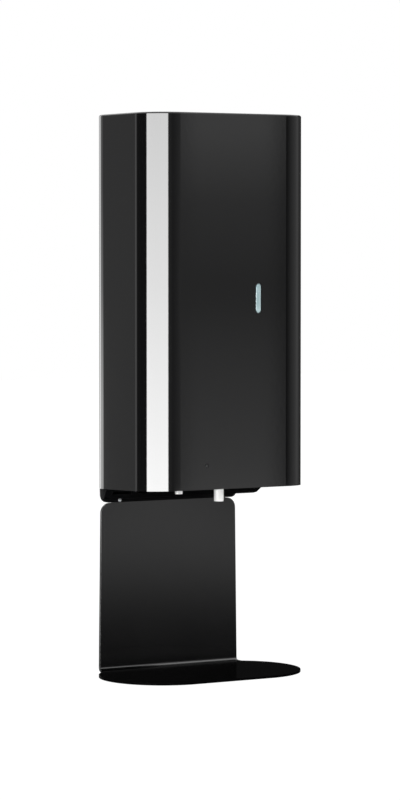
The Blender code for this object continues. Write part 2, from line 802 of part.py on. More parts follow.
def make_support_shelf():
    shelf_front = bottle_front
    back = -plate_depth - fit_gap
    shelf = block("support_shelf", (-shelf_half, -shelf_front, shelf_low), (shelf_half, back, shelf_top),
                  grey_plastic, 0)
    flange = block("shelf_flange", (-shelf_half, back - shelf_flange_thickness,
                                    shelf_low - shelf_flange_down),
                   (shelf_half, back, shelf_top + shelf_flange_up))
    join(shelf, flange)
    for side in sides:
        outline = ((back - shelf_flange_thickness / 2, shelf_low - shelf_flange_down),
                   (back - shelf_flange_thickness / 2, shelf_low + shelf_thickness / 2),
                   (-shelf_gusset_front, shelf_low + shelf_thickness / 2))
        gusset = flat_piece("shelf_gusset", outline, gusset_thickness, (side * shelf_gusset_x, 0, 0),
                            side_view)
        lip_x = side * (shelf_half - shelf_lip_thickness / 2)
        lip = block("shelf_lip", (lip_x - shelf_lip_thickness / 2, -shelf_front, shelf_top - overrun / 2),
                    (lip_x + shelf_lip_thickness / 2, back - shelf_flange_thickness / 2,
                     shelf_top + shelf_lip))
        boss_low = level(spring_boss_drop if side < 0 else plain_boss_drop)
        boss = rod("guide_boss", boss_radius, (side * guide_x, -bar_middle, boss_low),
                   (side * guide_x, -bar_middle, shelf_low + shelf_thickness / 2))
        join(shelf, gusset, lip, boss)
    slot_radius = neck_radius + edge_gap
    slot = rod("neck_slot", slot_radius, (0, -pump_forward, shelf_low - overrun),
               (0, -pump_forward, shelf_top + overrun), None, fine_steps)
    mouth = block("neck_mouth", (-slot_radius, -shelf_front - overrun, shelf_low - overrun),
                  (slot_radius, -pump_forward, shelf_top + overrun))
    cut(shelf, slot, mouth)
    for side in sides:
        cut(shelf, rod("guide_bore", guide_radius + fit_gap,
                       (side * guide_x, -bar_middle, level(spring_boss_drop) - overrun),
                       (side * guide_x, -bar_middle, shelf_top + overrun)))
    return shelf


def make_guide_rods():
    high = shelf_top - fit_gap
    low = level(pan_drop + pan_thickness * 2 / 3) + fit_gap
    for side in sides:
        rod("guide_rod_" + side_name[side], guide_radius, (side * guide_x, -bar_middle, low),
            (side * guide_x, -bar_middle, high), steel, small_steps)


def rack_outline():
    """Rack teeth on the right edge of an upright bar, with a tooth level with the pinion."""
    pitch = math.pi * rack_module
    tip = rack_line + addendum_share * rack_module
    root = rack_line - dedendum_share * rack_module
    half_pitch_line = (pitch - backlash) / 4
    tip_half = half_pitch_line - addendum_share * rack_module * math.tan(pressure_angle)
    root_half = half_pitch_line + dedendum_share * rack_module * math.tan(pressure_angle)
    travel_teeth = math.ceil(pump_travel / pitch)
    low = output_place[1] - (travel_teeth + 1.5) * pitch
    high = output_place[1] + 2.5 * pitch
    back = root - leg_back_width
    points = [(back, high), (back, low), (root, low)]
    for index in range(-travel_teeth - 1, 3):
        middle = output_place[1] + index * pitch
        points += [(root, middle - root_half), (tip, middle - tip_half),
                   (tip, middle + tip_half), (root, middle + root_half)]
    points.append((root, high))
    return points, back, root


def make_rack_carriage():
    low = level(bar_drop) - bar_thickness
    high = level(bar_drop)
    carriage = block("rack_carriage", (-bar_half, -bar_front, low), (bar_half, -bar_back, high),
                     gear_plastic, bar_thickness / 4, 1)
    set_origin(carriage, (0, -pump_forward, fork_middle))
    for side in sides:
        inner = side * (stem_radius + edge_gap)
        outer = side * prong_outer
        prong = block("prong", (min(inner, outer), -pump_forward - prong_reach,
                                fork_middle - fork_thickness / 2),
                      (max(inner, outer), -bar_front + overrun, fork_middle + fork_thickness / 2))
        join(carriage, prong)
        cut(carriage, rod("bar_bore", guide_radius + fit_gap, (side * guide_x, -bar_middle, low - overrun),
                          (side * guide_x, -bar_middle, high + overrun)))
    outline, back, root = rack_outline()
    rack = flat_piece("rack", outline, front_layer, (0, -front_y - front_layer / 2, 0), front_view)
    leg = block("rack_leg", (back, -bar_back - overrun, low), (root, -front_y - front_layer / 2, high))
    join(carriage, rack, leg)
    return carriage


def helix(centre, radius, low, high, turns):
    """Points of a coil about an upright axis."""
    points = []
    count = int(turns * turn_points)
    for step in range(count + 1):
        angle = math.tau * step / turn_points
        points.append((centre[0] + radius * math.cos(angle), centre[1] + radius * math.sin(angle),
                       low + (high - low) * step / count))
    return points


def make_return_spring():
    low = level(bar_drop) + fit_gap + spring_wire
    high = level(spring_boss_drop) - fit_gap - spring_wire
    gap = (high - low) / spring_turns - 2 * spring_wire
    print("return spring least gap", round(gap * 1000, 2), "mm")
    points = helix((-guide_x, -bar_middle), spring_radius, low, high, spring_turns)
    return wire("return_spring", points, spring_wire, steel)


# Underside pan with the latch guide, sensor lens and latch
pan_front = cover_depth - cover_flange - edge_gap
pan_lip = 0.006
pan_lip_thickness = 0.002
pan_lip_back = 0.030
nozzle_clear = 0.0012
sensor_x = -0.041
sensor_half = (0.0028, 0.0020)
sensor_drop = 0.3319
sensor_flange = 0.0020
sensor_flange_height = 0.0015
sensor_board_half = (0.0090, 0.0065)
sensor_board_sheet = 0.0012
diode_radius = 0.0015
diode_height = 0.0030
guide_low_x = -0.033
guide_high_x = -0.0175
guide_inset = 0.010
guide_thickness = 0.003
guide_front = cover_depth - guide_inset
guide_back = guide_front - guide_thickness
guide_top_drop = 0.3025
latch_pad_radius = 0.0030
latch_pad_thickness = 0.0020
latch_shaft_radius = 0.0020
latch_travel = 0.003
latch_nose_drop = 0.3165


def make_underside_pan():
    low = level(pan_drop + pan_thickness)
    high = level(pan_drop)
    back = -plate_depth - fit_gap
    pan = block("underside_pan", (-shelf_half, -pan_front, low), (shelf_half, back, high), black_plastic)
    front_lip = block("pan_front_lip", (-shelf_half, -pan_front, high - overrun / 2),
                      (shelf_half, pan_lip_thickness - pan_front, high + pan_lip))
    guide = block("latch_guide", (guide_low_x, -guide_front, high - overrun / 2),
                  (guide_high_x, -guide_back, level(guide_top_drop)))
    join(pan, front_lip, guide)
    for side in sides:
        lip_x = side * (shelf_half - pan_lip_thickness / 2)
        join(pan, block("pan_side_lip", (lip_x - pan_lip_thickness / 2, pan_lip_thickness / 2 - pan_front,
                                         high - overrun / 2),
                        (lip_x + pan_lip_thickness / 2, -pan_lip_back, high + pan_lip)))
        cut(pan, rod("rod_seat", guide_radius + fit_gap, (side * guide_x, -bar_middle, high + overrun),
                     (side * guide_x, -bar_middle, level(pan_drop + pan_thickness * 2 / 3))))
    cut(pan, rod("nozzle_hole", nozzle_radius + nozzle_clear, (0, -pump_forward, low - overrun),
                 (0, -pump_forward, high + overrun), None, fine_steps))
    half_x, half_y = sensor_half
    cut(pan, block("sensor_hole", (sensor_x - half_x - fit_gap, -pump_forward - half_y - fit_gap,
                                   low - overrun),
                   (sensor_x + half_x + fit_gap, -pump_forward + half_y + fit_gap, high + overrun)))
    cut(pan, rod("latch_bore", latch_shaft_radius + fit_gap,
                 (key_x, -guide_front - overrun, level(key_drop)),
                 (key_x, overrun - guide_back, level(key_drop))))
    return pan


def make_sensor_lens():
    half_x, half_y = sensor_half
    high = level(pan_drop) + fit_gap
    lens = block("sensor_lens", (sensor_x - half_x, -pump_forward - half_y, level(sensor_drop)),
                 (sensor_x + half_x, -pump_forward + half_y, high + sensor_flange_height / 2),
                 white_plastic, half_y / 4, 2)
    flange = block("lens_flange", (sensor_x - half_x - sensor_flange,
                                   -pump_forward - half_y - sensor_flange, high),
                   (sensor_x + half_x + sensor_flange, -pump_forward + half_y + sensor_flange,
                    high + sensor_flange_height))
    join(lens, flange)
    return lens


def make_sensor_board():
    low = level(pan_drop) + 2 * fit_gap + sensor_flange_height
    half_x, half_y = sensor_board_half
    board = block("sensor_board", (sensor_x - half_x, -pump_forward - half_y, low),
                  (sensor_x + half_x, -pump_forward + half_y, low + sensor_board_sheet), board_green)
    for side in sides:
        x = sensor_x + side * sensor_half[0]
        join(board, rod("diode", diode_radius, (x, -pump_forward, low + sensor_board_sheet / 2),
                        (x, -pump_forward, low + sensor_board_sheet + diode_height), None, small_steps))
    return board


def make_lock_latch():
    z = level(key_drop)
    front = edge_gap - cover_front_inner
    pad_back = front + latch_pad_thickness
    latch = rod("lock_latch", latch_pad_radius, (key_x, front, z), (key_x, pad_back, z), white_plastic)
    clip_front = -guide_back + fit_gap
    shaft = rod("latch_shaft", latch_shaft_radius, (key_x, pad_back - latch_pad_thickness / 2, z),
                (key_x, clip_front + latch_pad_thickness / 2, z))
    clip = rod("latch_clip", latch_pad_radius, (key_x, clip_front, z),
               (key_x, clip_front + latch_pad_thickness, z))
    nose = block("latch_nose", (key_x - latch_shaft_radius, front + fit_gap, level(latch_nose_drop)),
                 (key_x + latch_shaft_radius, pad_back - fit_gap, z))
    join(latch, shaft, clip, nose)
    return latch


def involute(angle):
    return math.tan(angle) - angle


def gear_outline(teeth, module, turn, steps):
    """Outline of a spur gear with involute flanks and one tooth centred at the turn angle."""
    pitch_radius = teeth * module / 2
    base_radius = pitch_radius * math.cos(pressure_angle)
    tip_radius = pitch_radius + addendum_share * module
    root_radius = pitch_radius - dedendum_share * module
    start_radius = max(base_radius, root_radius)
    pitch_half = (math.pi * module - backlash) / 4 / pitch_radius
    flank = []
    if root_radius < base_radius:
        flank.append((root_radius, pitch_half + involute(pressure_angle)))
    for step in range(steps + 1):
        radius = start_radius + (tip_radius - start_radius) * step / steps
        roll = math.acos(min(1, base_radius / radius))
        flank.append((radius, pitch_half + involute(pressure_angle) - involute(roll)))
    points = []
    for tooth in range(teeth):
        middle = turn + math.tau * tooth / teeth
        for radius, half in flank:
            points.append((radius * math.cos(middle - half), radius * math.sin(middle - half)))
        for radius, half in reversed(flank):
            points.append((radius * math.cos(middle + half), radius * math.sin(middle + half)))
    return points


def gear(name, teeth, module, turn, place, low_y, high_y, material=None):
    """A spur gear between two distances from the wall."""
    steps = pinion_steps if teeth <= rack_pinion_teeth else wheel_steps
    return flat_piece(name, gear_outline(teeth, module, turn, steps), high_y - low_y,
                      (place[0], -(low_y + high_y) / 2, place[1]), front_view, material)


def axle_hole(name, place, radius, low_y, high_y, steps=small_steps):
    return rod(name, radius, (place[0], -low_y, place[1]), (place[0], -high_y, place[1]), None, steps)


output_hub = 0.0085
spoke_hole = 0.0042
spoke_count = 5


def make_output_gear():
    """Large gear in the middle layer with the rack's pinion in front of it."""
    large = gear("output_gear", output_teeth, rack_module, idler_angle, output_place,
                 middle_y, middle_y + middle_layer, gear_plastic)
    small = gear("rack_pinion", rack_pinion_teeth, rack_module, math.pi / rack_pinion_teeth, output_place,
                 middle_y + middle_layer / 2, front_y + front_layer)
    join(large, small)
    far = gear_front_face + overrun
    cut(large, axle_hole("output_bore", output_place, axle_radius + fit_gap, middle_y - overrun, far,
                         round_steps))
    ring = (output_hub + output_radius - dedendum_share * rack_module) / 2
    for index in range(spoke_count):
        angle = math.tau * index / spoke_count
        place = (output_place[0] + ring * math.cos(angle), output_place[1] + ring * math.sin(angle))
        cut(large, axle_hole("output_spoke", place, spoke_hole / 2, middle_y - overrun, far))
    return large


def make_idler_gear():
    """Large gear next to the rear plate with its pinion in the middle layer."""
    large = gear("idler_gear", idler_teeth, drive_module, motor_angle, idler_place,
                 drive_y, drive_y + drive_layer, gear_plastic)
    turn = idler_angle + math.pi + math.pi / idler_pinion_teeth + play_share * backlash / idler_pinion_radius
    small = gear("idler_pinion", idler_pinion_teeth, rack_module, turn, idler_place,
                 drive_y + drive_layer / 2, middle_y + middle_layer)
    join(large, small)
    far = middle_y + middle_layer + overrun
    cut(large, axle_hole("idler_bore", idler_place, axle_radius + fit_gap, drive_y - overrun, far,
                         round_steps))
    ring = (output_hub + idler_radius - dedendum_share * drive_module) / 2
    for index in range(spoke_count):
        angle = math.tau * index / spoke_count
        place = (idler_place[0] + ring * math.cos(angle), idler_place[1] + ring * math.sin(angle))
        cut(large, axle_hole("idler_spoke", place, spoke_hole / 2, drive_y - overrun, far))
    return large


motor_radius = 0.0120
motor_wall_gap = 0.021
motor_length = gear_rear_face - motor_wall_gap
motor_flat = 0.0100
motor_nose_radius = 0.0032
motor_shaft_radius = 0.0010
motor_cap_radius = 0.0040
motor_cap_length = 0.0020
shaft_seat = 0.0040


def make_motor_pinion():
    turn = motor_angle + math.pi + math.pi / motor_teeth
    pinion = gear("motor_pinion", motor_teeth, drive_module, turn, motor_place,
                  drive_y, drive_y + drive_layer, brass)
    shaft = rod("motor_shaft", motor_shaft_radius,
                (motor_place[0], shaft_seat - gear_rear_face, motor_place[1]),
                (motor_place[0], -drive_y - drive_layer / 2, motor_place[1]), None, small_steps)
    join(pinion, shaft)
    return pinion


def make_drive_motor():
    """Flat-sided can with a nose through the gearbox's rear plate."""
    nose = gear_plate_sheet
    bore = motor_shaft_radius + fit_gap
    seat = -shaft_seat - edge_gap
    edge = motor_cap_length / 2
    profile = ((0, nose), (motor_nose_radius, nose), (motor_nose_radius, 0),
               (motor_radius - edge, 0), (motor_radius, -edge), (motor_radius, edge - motor_length),
               (motor_radius - edge, -motor_length), (motor_cap_radius, -motor_length),
               (motor_cap_radius, -motor_length - motor_cap_length), (0, -motor_length - motor_cap_length))
    y = fit_gap - gear_rear_face
    motor = turned("drive_motor", profile, (motor_place[0], y, motor_place[1]), (0, -1, 0), zinc_plate,
                   round_steps)
    cut(motor, rod("motor_bore", bore, (motor_place[0], y - nose - overrun, motor_place[1]),
                   (motor_place[0], y - seat, motor_place[1]), None, small_steps))
    for side in sides:
        near = motor_place[1] + side * motor_flat
        far = motor_place[1] + side * (motor_radius + overrun)
        flat = block("motor_flat", (motor_place[0] - motor_radius - overrun, y + fit_gap, min(near, far)),
                     (motor_place[0] + motor_radius + overrun, y + motor_length + overrun, max(near, far)))
        cut(motor, flat)
    return motor


def make_gear_plate(name, near):
    """One gearbox plate, with the frame's posts or pillars behind or in front of it."""
    outline = rounded_outline((gear_plate_left, level(gear_plate_foot)),
                              (gear_plate_right, level(gear_plate_top)),
                              (post_inset,) * 4, corner_steps // 2)
    plate = flat_piece(name, outline, gear_plate_sheet, (0, -near - gear_plate_sheet / 2, 0), front_view,
                       zinc_plate)
    far = near + gear_plate_sheet + overrun
    for place in (output_place, idler_place):
        cut(plate, axle_hole(name + "_axle_hole", place, axle_radius + fit_gap, near - overrun, far))
    for x, z in post_places:
        cut(plate, axle_hole(name + "_post_hole", (x, z), pillar_radius / 2 + fit_gap, near - overrun, far))
    return plate


def make_gear_plate_rear():
    plate = make_gear_plate("gear_plate_rear", gear_rear_face)
    cut(plate, axle_hole("motor_nose_hole", motor_place, motor_nose_radius + fit_gap,
                         gear_rear_face - overrun, gear_rear_face + gear_plate_sheet + overrun))
    return plate


def make_gear_pillars():
    """Four spacers between the plates, each with a thinner stud through both."""
    low_y = gear_rear_face + gear_plate_sheet + fit_gap
    high_y = gear_front_face - fit_gap
    stud_low = gear_rear_face + fit_gap
    stud_high = gear_front_face + gear_plate_sheet
    profile = ((0, stud_high), (pillar_radius / 2, stud_high), (pillar_radius / 2, high_y),
               (pillar_radius, high_y), (pillar_radius, low_y), (pillar_radius / 2, low_y),
               (pillar_radius / 2, stud_low), (0, stud_low))
    for number, (x, z) in enumerate(post_places, 1):
        turned(f"gear_pillar_{number}", profile, (x, 0, z), (0, -1, 0), zinc_plate, small_steps)


def make_gear_axles():
    low_y = gear_rear_face
    high_y = gear_front_face + gear_plate_sheet
    for name, place in (("output_axle", output_place), ("idler_axle", idler_place)):
        rod(name, axle_radius, (place[0], -low_y, place[1]), (place[0], -high_y, place[1]), steel,
            small_steps)


# Battery box with four cells in two rows
cell_radius = 0.0071
cell_length = 0.0492
cell_nub_radius = 0.0026
cell_nub_length = 0.0012
cell_gap = 0.0004
cell_edge = 0.0006
box_inset = 0.0015
box_left = box_inset - shelf_half
box_wall = 0.0015
box_top_drop = 0.2345
contact_space = 0.0040
door_thickness = 0.0018
door_rail = 0.0025
door_travel = 0.008
door_grip = 0.0016
contact_sheet = 0.0005
contact_width = 0.0100
contact_wire = 0.00035
contact_radius = 0.0030
contact_turns = 2.5
cell_step = 2 * cell_radius + cell_gap
box_back = plate_depth + fit_gap
box_width = 2 * cell_step + cell_gap + 2 * box_wall
box_right = box_left + box_width
cells_front = box_back + box_wall + 2 * cell_step + cell_gap
door_back = cells_front + edge_gap
box_front = door_back + door_thickness + fit_gap + box_wall
box_height = cell_length + cell_nub_length + 2 * contact_space + 2 * box_wall
box_low = level(box_top_drop) - box_height
cell_columns = [box_left + box_wall + cell_gap + cell_radius + cell_step * i for i in range(2)]
cell_rows = [-box_back - box_wall - cell_gap - cell_radius - cell_step * i for i in range(2)]
cell_low = box_low + box_wall + contact_space


def make_battery_box():
    top = level(box_top_drop)
    box = block("battery_box", (box_left, -box_front, box_low), (box_right, -box_back, top), grey_plastic)
    inside = block("box_inside", (box_left + box_wall, -door_back, box_low + box_wall),
                   (box_right - box_wall, -box_back - box_wall, top - box_wall))
    groove = block("door_groove", (box_left + box_wall, -door_back - door_thickness - fit_gap,
                                   box_low + box_wall),
                   (box_right - box_wall, overrun / 2 - door_back, top + overrun))
    mouth = block("door_mouth", (box_left + box_wall + door_rail, -box_front - overrun, box_low + box_wall),
                  (box_right - box_wall - door_rail, overrun / 2 - door_back - door_thickness,
                   top + overrun))
    cut(box, inside, groove, mouth)
    return box


def make_battery_door():
    low = box_low + box_wall + fit_gap
    high = level(box_top_drop)
    left = box_left + box_wall + fit_gap
    right = box_right - box_wall - fit_gap
    door = block("battery_door", (left, -door_back - door_thickness, low), (right, -door_back, high),
                 grey_plastic)
    set_origin(door, ((left + right) / 2, -door_back, low))
    middle = (left + right) / 2
    for index in range(3):
        z = high - (3 + 2 * index) * door_grip
        ridge = block("door_ridge", (middle - 4 * door_grip, -door_back - door_thickness - door_grip / 2,
                                     z),
                      (middle + 4 * door_grip, -door_back - door_thickness / 2, z + door_grip))
        join(door, ridge)
    return door


def make_batteries():
    """Four cells, alternately nub up and nub down."""
    profile = ((0, cell_length + cell_nub_length), (cell_nub_radius, cell_length + cell_nub_length),
               (cell_nub_radius, cell_length), (cell_radius - cell_edge, cell_length),
               (cell_radius, cell_length - cell_edge), (cell_radius, cell_edge),
               (cell_radius - cell_edge, 0), (0, 0))
    for column, x in enumerate(cell_columns):
        for row, y in enumerate(cell_rows):
            up = (column + row) % 2 == 0
            z = cell_low if up else cell_low + cell_length + cell_nub_length
            turned(f"battery_{2 * column + row + 1}", profile, (x, y, z), (0, 0, 1) if up else (0, 0, -1),
                   cell_wrap, round_steps)


def make_battery_contacts():
    """At each end of each row of cells: a plate across both, with a coil for the flat cell end."""
    low_plate = box_low + box_wall + fit_gap
    high_plate = level(box_top_drop) - box_wall - fit_gap
    back = cell_rows[0] + cell_radius
    front = cell_rows[1] - cell_radius
    number = 0
    for column, x in enumerate(cell_columns):
        for plate_low in (low_plate, high_plate - contact_sheet):
            number += 1
            contact = block(f"battery_contact_{number}", (x - contact_width / 2, front, plate_low),
                            (x + contact_width / 2, back, plate_low + contact_sheet), zinc_plate)
            at_bottom = plate_low == low_plate
            row = column if at_bottom else 1 - column
            if at_bottom:
                low = low_plate + contact_sheet / 2
                high = cell_low - fit_gap - contact_wire
            else:
                low = cell_low + cell_length + cell_nub_length + fit_gap + contact_wire
                high = high_plate - contact_sheet / 2
            points = helix((x, cell_rows[row]), contact_radius, low, high, contact_turns)
            join(contact, wire("contact_coil", points, contact_wire, None))


# Parts on the circuit board
chip_half = 0.0040
chip_height = 0.0015
capacitor_radius = 0.0030
capacitor_height = 0.0090
switch_half = (0.0022, 0.0050)
switch_height = 0.0036
switch_wall = 0.0008
switch_travel = 0.0030
knob_half = (0.0008, 0.0012)
knob_reach = 0.0030
chip_drop = 0.262
capacitor_drop = 0.279
switch_drop = 0.251
board_face = board_back + board_sheet
switch_x = board_high[0] - switch_half[0] * 2


def make_control_board():
    board = block("control_board", (board_low[0], -board_face, level(board_low[1])),
                  (board_high[0], -board_back, level(board_high[1])), board_green)
    root = -board_back - board_sheet / 2
    chip = block("chip", (board_post_x - chip_half, -board_face - chip_height,
                          level(chip_drop) - chip_half),
                 (board_post_x + chip_half, root, level(chip_drop) + chip_half))
    join(board, chip)
    for side in sides:
        x = board_post_x + side * chip_half * 2
        z = level(capacitor_drop)
        join(board, rod("capacitor", capacitor_radius, (x, root, z), (x, -board_face - capacitor_height, z),
                        None, small_steps))
    half_x, half_z = switch_half
    case = block("switch_case", (switch_x - half_x, -board_face - switch_height,
                                 level(switch_drop) - half_z),
                 (switch_x + half_x, root, level(switch_drop) + half_z))
    knob_x, knob_z = knob_half
    low = level(switch_drop) - half_z + switch_wall
    slot = block("switch_slot", (switch_x - knob_x - fit_gap, -board_face - switch_height - overrun, low),
                 (switch_x + knob_x + fit_gap, switch_wall - board_face - switch_height / 2,
                  low + 2 * knob_z + switch_travel + 2 * fit_gap))
    join(board, case)
    cut(board, slot)
    return board


def make_mode_switch():
    knob_x, knob_z = knob_half
    low = level(switch_drop) - switch_half[1] + switch_wall + fit_gap
    back = -board_face - switch_height / 2 + switch_wall - fit_gap
    knob = block("mode_switch", (switch_x - knob_x, -board_face - switch_height - knob_reach, low),
                 (switch_x + knob_x, back, low + 2 * knob_z), white_plastic)
    return knob


cover_object = make_front_cover()
make_level_window(cover_object)
make_wall_base()
make_hinge_pins()
make_tray_bracket()
make_bracket_screws()
make_refill_bottle()
make_pump_collar()
make_pump_barrel()
make_pump_piston()
make_support_shelf()
make_guide_rods()
make_rack_carriage()
make_return_spring()
make_underside_pan()
make_sensor_lens()
make_sensor_board()
make_lock_latch()
make_output_gear()
make_idler_gear()
make_motor_pinion()
make_drive_motor()
make_gear_plate_rear()
make_gear_plate("gear_plate_front", gear_front_face)
make_gear_pillars()
make_gear_axles()
make_battery_box()
make_battery_door()
make_batteries()
make_battery_contacts()
make_control_board()
make_mode_switch()
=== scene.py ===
import json
import math

import bmesh
import bpy
from mathutils import Matrix, Vector

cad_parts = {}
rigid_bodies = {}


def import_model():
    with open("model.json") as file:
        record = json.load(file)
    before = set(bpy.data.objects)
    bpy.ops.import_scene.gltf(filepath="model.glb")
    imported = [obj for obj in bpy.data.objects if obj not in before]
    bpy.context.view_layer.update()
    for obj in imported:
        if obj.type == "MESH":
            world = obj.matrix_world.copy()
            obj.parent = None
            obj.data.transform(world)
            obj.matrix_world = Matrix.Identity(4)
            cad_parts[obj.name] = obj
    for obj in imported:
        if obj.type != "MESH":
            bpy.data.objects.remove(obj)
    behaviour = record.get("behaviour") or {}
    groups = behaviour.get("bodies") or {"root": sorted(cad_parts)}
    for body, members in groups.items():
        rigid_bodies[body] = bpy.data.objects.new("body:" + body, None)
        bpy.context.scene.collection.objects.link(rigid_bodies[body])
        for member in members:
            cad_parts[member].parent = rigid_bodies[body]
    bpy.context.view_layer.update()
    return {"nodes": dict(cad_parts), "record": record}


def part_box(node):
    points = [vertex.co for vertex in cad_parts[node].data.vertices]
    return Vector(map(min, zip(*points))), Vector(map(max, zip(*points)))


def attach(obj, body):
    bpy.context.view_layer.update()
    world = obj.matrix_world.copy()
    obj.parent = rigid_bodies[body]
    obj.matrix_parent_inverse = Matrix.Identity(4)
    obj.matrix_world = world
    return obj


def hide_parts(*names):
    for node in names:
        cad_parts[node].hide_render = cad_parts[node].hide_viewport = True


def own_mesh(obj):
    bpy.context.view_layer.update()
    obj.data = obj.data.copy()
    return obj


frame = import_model()
nodes = frame["nodes"]
print("frame loaded:", len(nodes), "pieces")

scene = bpy.context.scene
workshop = bpy.data.collections.new("workshop")  # cutters and blanks, removed at the end
scene.collection.children.link(workshop)


# Camera at the photograph's angle: in front, to the left and slightly above the middle
cameraView = {
    "place": (-1.4788, -2.4979, 0.0528),
    "turn": 31.2,
    "tilt": 2.7,
    "lens": 144.9,
    "sensor": 36.0,
}


def makeCamera(view):
    turn = math.radians(view["turn"])
    tilt = math.radians(view["tilt"])
    ahead = Vector((math.sin(turn) * math.cos(tilt), math.cos(turn) * math.cos(tilt), -math.sin(tilt)))
    lens = bpy.data.cameras.new("photoCamera")
    lens.lens = view["lens"]
    lens.sensor_width = view["sensor"]
    lens.clip_start = 0.05
    lens.clip_end = 60
    camera = bpy.data.objects.new("photoCamera", lens)
    scene.collection.objects.link(camera)
    camera.location = view["place"]
    camera.rotation_euler = ahead.to_track_quat("-Z", "Y").to_euler()
    scene.camera = camera


makeCamera(cameraView)


class Signal:  # a socket that Python can do sums with, in a shader tree or a geometry tree
    def __init__(self, tree, socket=None):
        self.tree = tree
        self.socket = socket

    def node(self, kind, settings=None, values=None, output=0):
        made = self.tree.nodes.new(kind)
        for key, value in (settings or {}).items():
            if key == "stops":
                setStops(made.color_ramp, value)
            else:
                setattr(made, key, value)
        for key, value in (values or {}).items():
            if isinstance(value, Signal):
                self.tree.links.new(value.socket, made.inputs[key])
            else:
                made.inputs[key].default_value = value
        return Signal(self.tree, made.outputs[output])

    def math(self, operation, first, second=0.0, third=0.0):
        return self.node("ShaderNodeMath", {"operation": operation}, {0: first, 1: second, 2: third})

    def __add__(self, other):
        return self.math("ADD", self, other)

    def __radd__(self, other):
        return self.math("ADD", other, self)

    def __sub__(self, other):
        return self.math("SUBTRACT", self, other)

    def __rsub__(self, other):
        return self.math("SUBTRACT", other, self)

    def __mul__(self, other):
        return self.math("MULTIPLY", self, other)

    def __rmul__(self, other):
        return self.math("MULTIPLY", other, self)

    def __truediv__(self, other):
        return self.math("DIVIDE", self, other)

    def __abs__(self):
        return self.math("ABSOLUTE", self)

    def __gt__(self, other):
        return self.math("GREATER_THAN", self, other)

    def __lt__(self, other):
        return self.math("LESS_THAN", self, other)

    def atLeast(self, other):
        return self.math("MAXIMUM", self, other)

    def atMost(self, other):
        return self.math("MINIMUM", self, other)

    def part(self, index):
        return self.node("ShaderNodeSeparateXYZ", None, {0: self}, index)

    def vector(self, x=0.0, y=0.0, z=0.0):
        return self.node("ShaderNodeCombineXYZ", None, {0: x, 1: y, 2: z})

    def mix(self, factor, first, second):
        return self.node("ShaderNodeMix", {"data_type": "RGBA"}, {0: factor, 6: first, 7: second}, 2)

    def ramp(self, stops):
        return self.node("ShaderNodeValToRGB", {"stops": stops}, {"Fac": self})

    def noise(self, where, scale, detail=2.0, roughness=0.5, distortion=0.0):
        return self.node("ShaderNodeTexNoise", None, {"Vector": where, "Scale": scale, "Detail": detail,
                                                      "Roughness": roughness, "Distortion": distortion})


def setStops(ramp, stops):
    while len(ramp.elements) > 1:
        ramp.elements.remove(ramp.elements[-1])
    for index, (place, value) in enumerate(stops):
        stop = ramp.elements[0] if index == 0 else ramp.elements.new(place)
        stop.position = place
        shade = (value, value, value) if isinstance(value, (int, float)) else value
        stop.color = (*shade, 1.0)


class Finish:  # one material: its tree, its shader and the place on the object
    def __init__(self, name, constants):
        self.material = bpy.data.materials.new(name)
        self.material.use_nodes = True
        self.tree = self.material.node_tree
        self.tree.nodes.clear()
        self.start = Signal(self.tree)
        self.shader = self.tree.nodes.new("ShaderNodeBsdfPrincipled")
        self.output = self.tree.nodes.new("ShaderNodeOutputMaterial")
        self.surface(Signal(self.tree, self.shader.outputs[0]))
        for key, value in constants.items():
            self.shader.inputs[key].default_value = value
        self.place = self.start.node("ShaderNodeTexCoord", None, None, 3)

    def surface(self, signal):
        self.tree.links.new(signal.socket, self.output.inputs["Surface"])

    def along(self, stretch):
        return self.start.node("ShaderNodeMapping", None, {"Vector": self.place, "Scale": stretch})

    def axis(self, index):
        return self.place.part(index)

    def feed(self, socket, signal):
        self.tree.links.new(signal.socket, self.shader.inputs[socket])

    def dress(self, colour, roughness, height, strength, distance):
        self.feed("Base Color", colour)
        self.feed("Roughness", roughness)
        self.feed("Normal", self.start.node("ShaderNodeBump", None,
                                            {"Height": height, "Strength": strength, "Distance": distance}))
        return self.material


def glossPaint():
    finish = Finish("glossBlackPaint", {"Metallic": 0.0, "IOR": 1.5})
    start = finish.start
    peel = start.noise(finish.place, 260.0, 2.0, 0.45)
    cloud = start.noise(finish.place, 9.0, 3.0)
    dust = start.noise(finish.place, 2600.0, 1.0) > 0.74
    colour = start.mix(dust * 0.25, (0.0018, 0.0018, 0.0020, 1), (0.008, 0.008, 0.009, 1))
    return finish.dress(colour, 0.035 + cloud * 0.02 + dust * 0.05, peel, 0.10, 0.00006)


def satinCoat(name, specular):
    finish = Finish(name, {"Metallic": 0.0, "IOR": 1.5, "Specular IOR Level": specular})
    start = finish.start
    grain = start.noise(finish.place, 1900.0, 2.0, 0.55)
    cloud = start.noise(finish.place, 14.0, 3.0)
    colour = start.mix(cloud, (0.0012, 0.0012, 0.0013, 1), (0.0022, 0.0022, 0.0024, 1))
    return finish.dress(colour, 0.11 + cloud * 0.03 + grain * 0.03, grain, 0.20, 0.00004)


def mouldedBlack():
    finish = Finish("mouldedBlackPlastic", {"Metallic": 0.0, "IOR": 1.46, "Specular IOR Level": 0.03})
    start = finish.start
    grain = start.node("ShaderNodeTexVoronoi", {"feature": "SMOOTH_F1"},
                       {"Vector": finish.place, "Scale": 1500.0, "Smoothness": 0.6})
    cloud = start.noise(finish.place, 22.0, 3.0)
    colour = start.mix(cloud, (0.0016, 0.0016, 0.0018, 1), (0.0030, 0.0030, 0.0032, 1))
    return finish.dress(colour, 0.42 + cloud * 0.14, grain, 0.35, 0.00006)


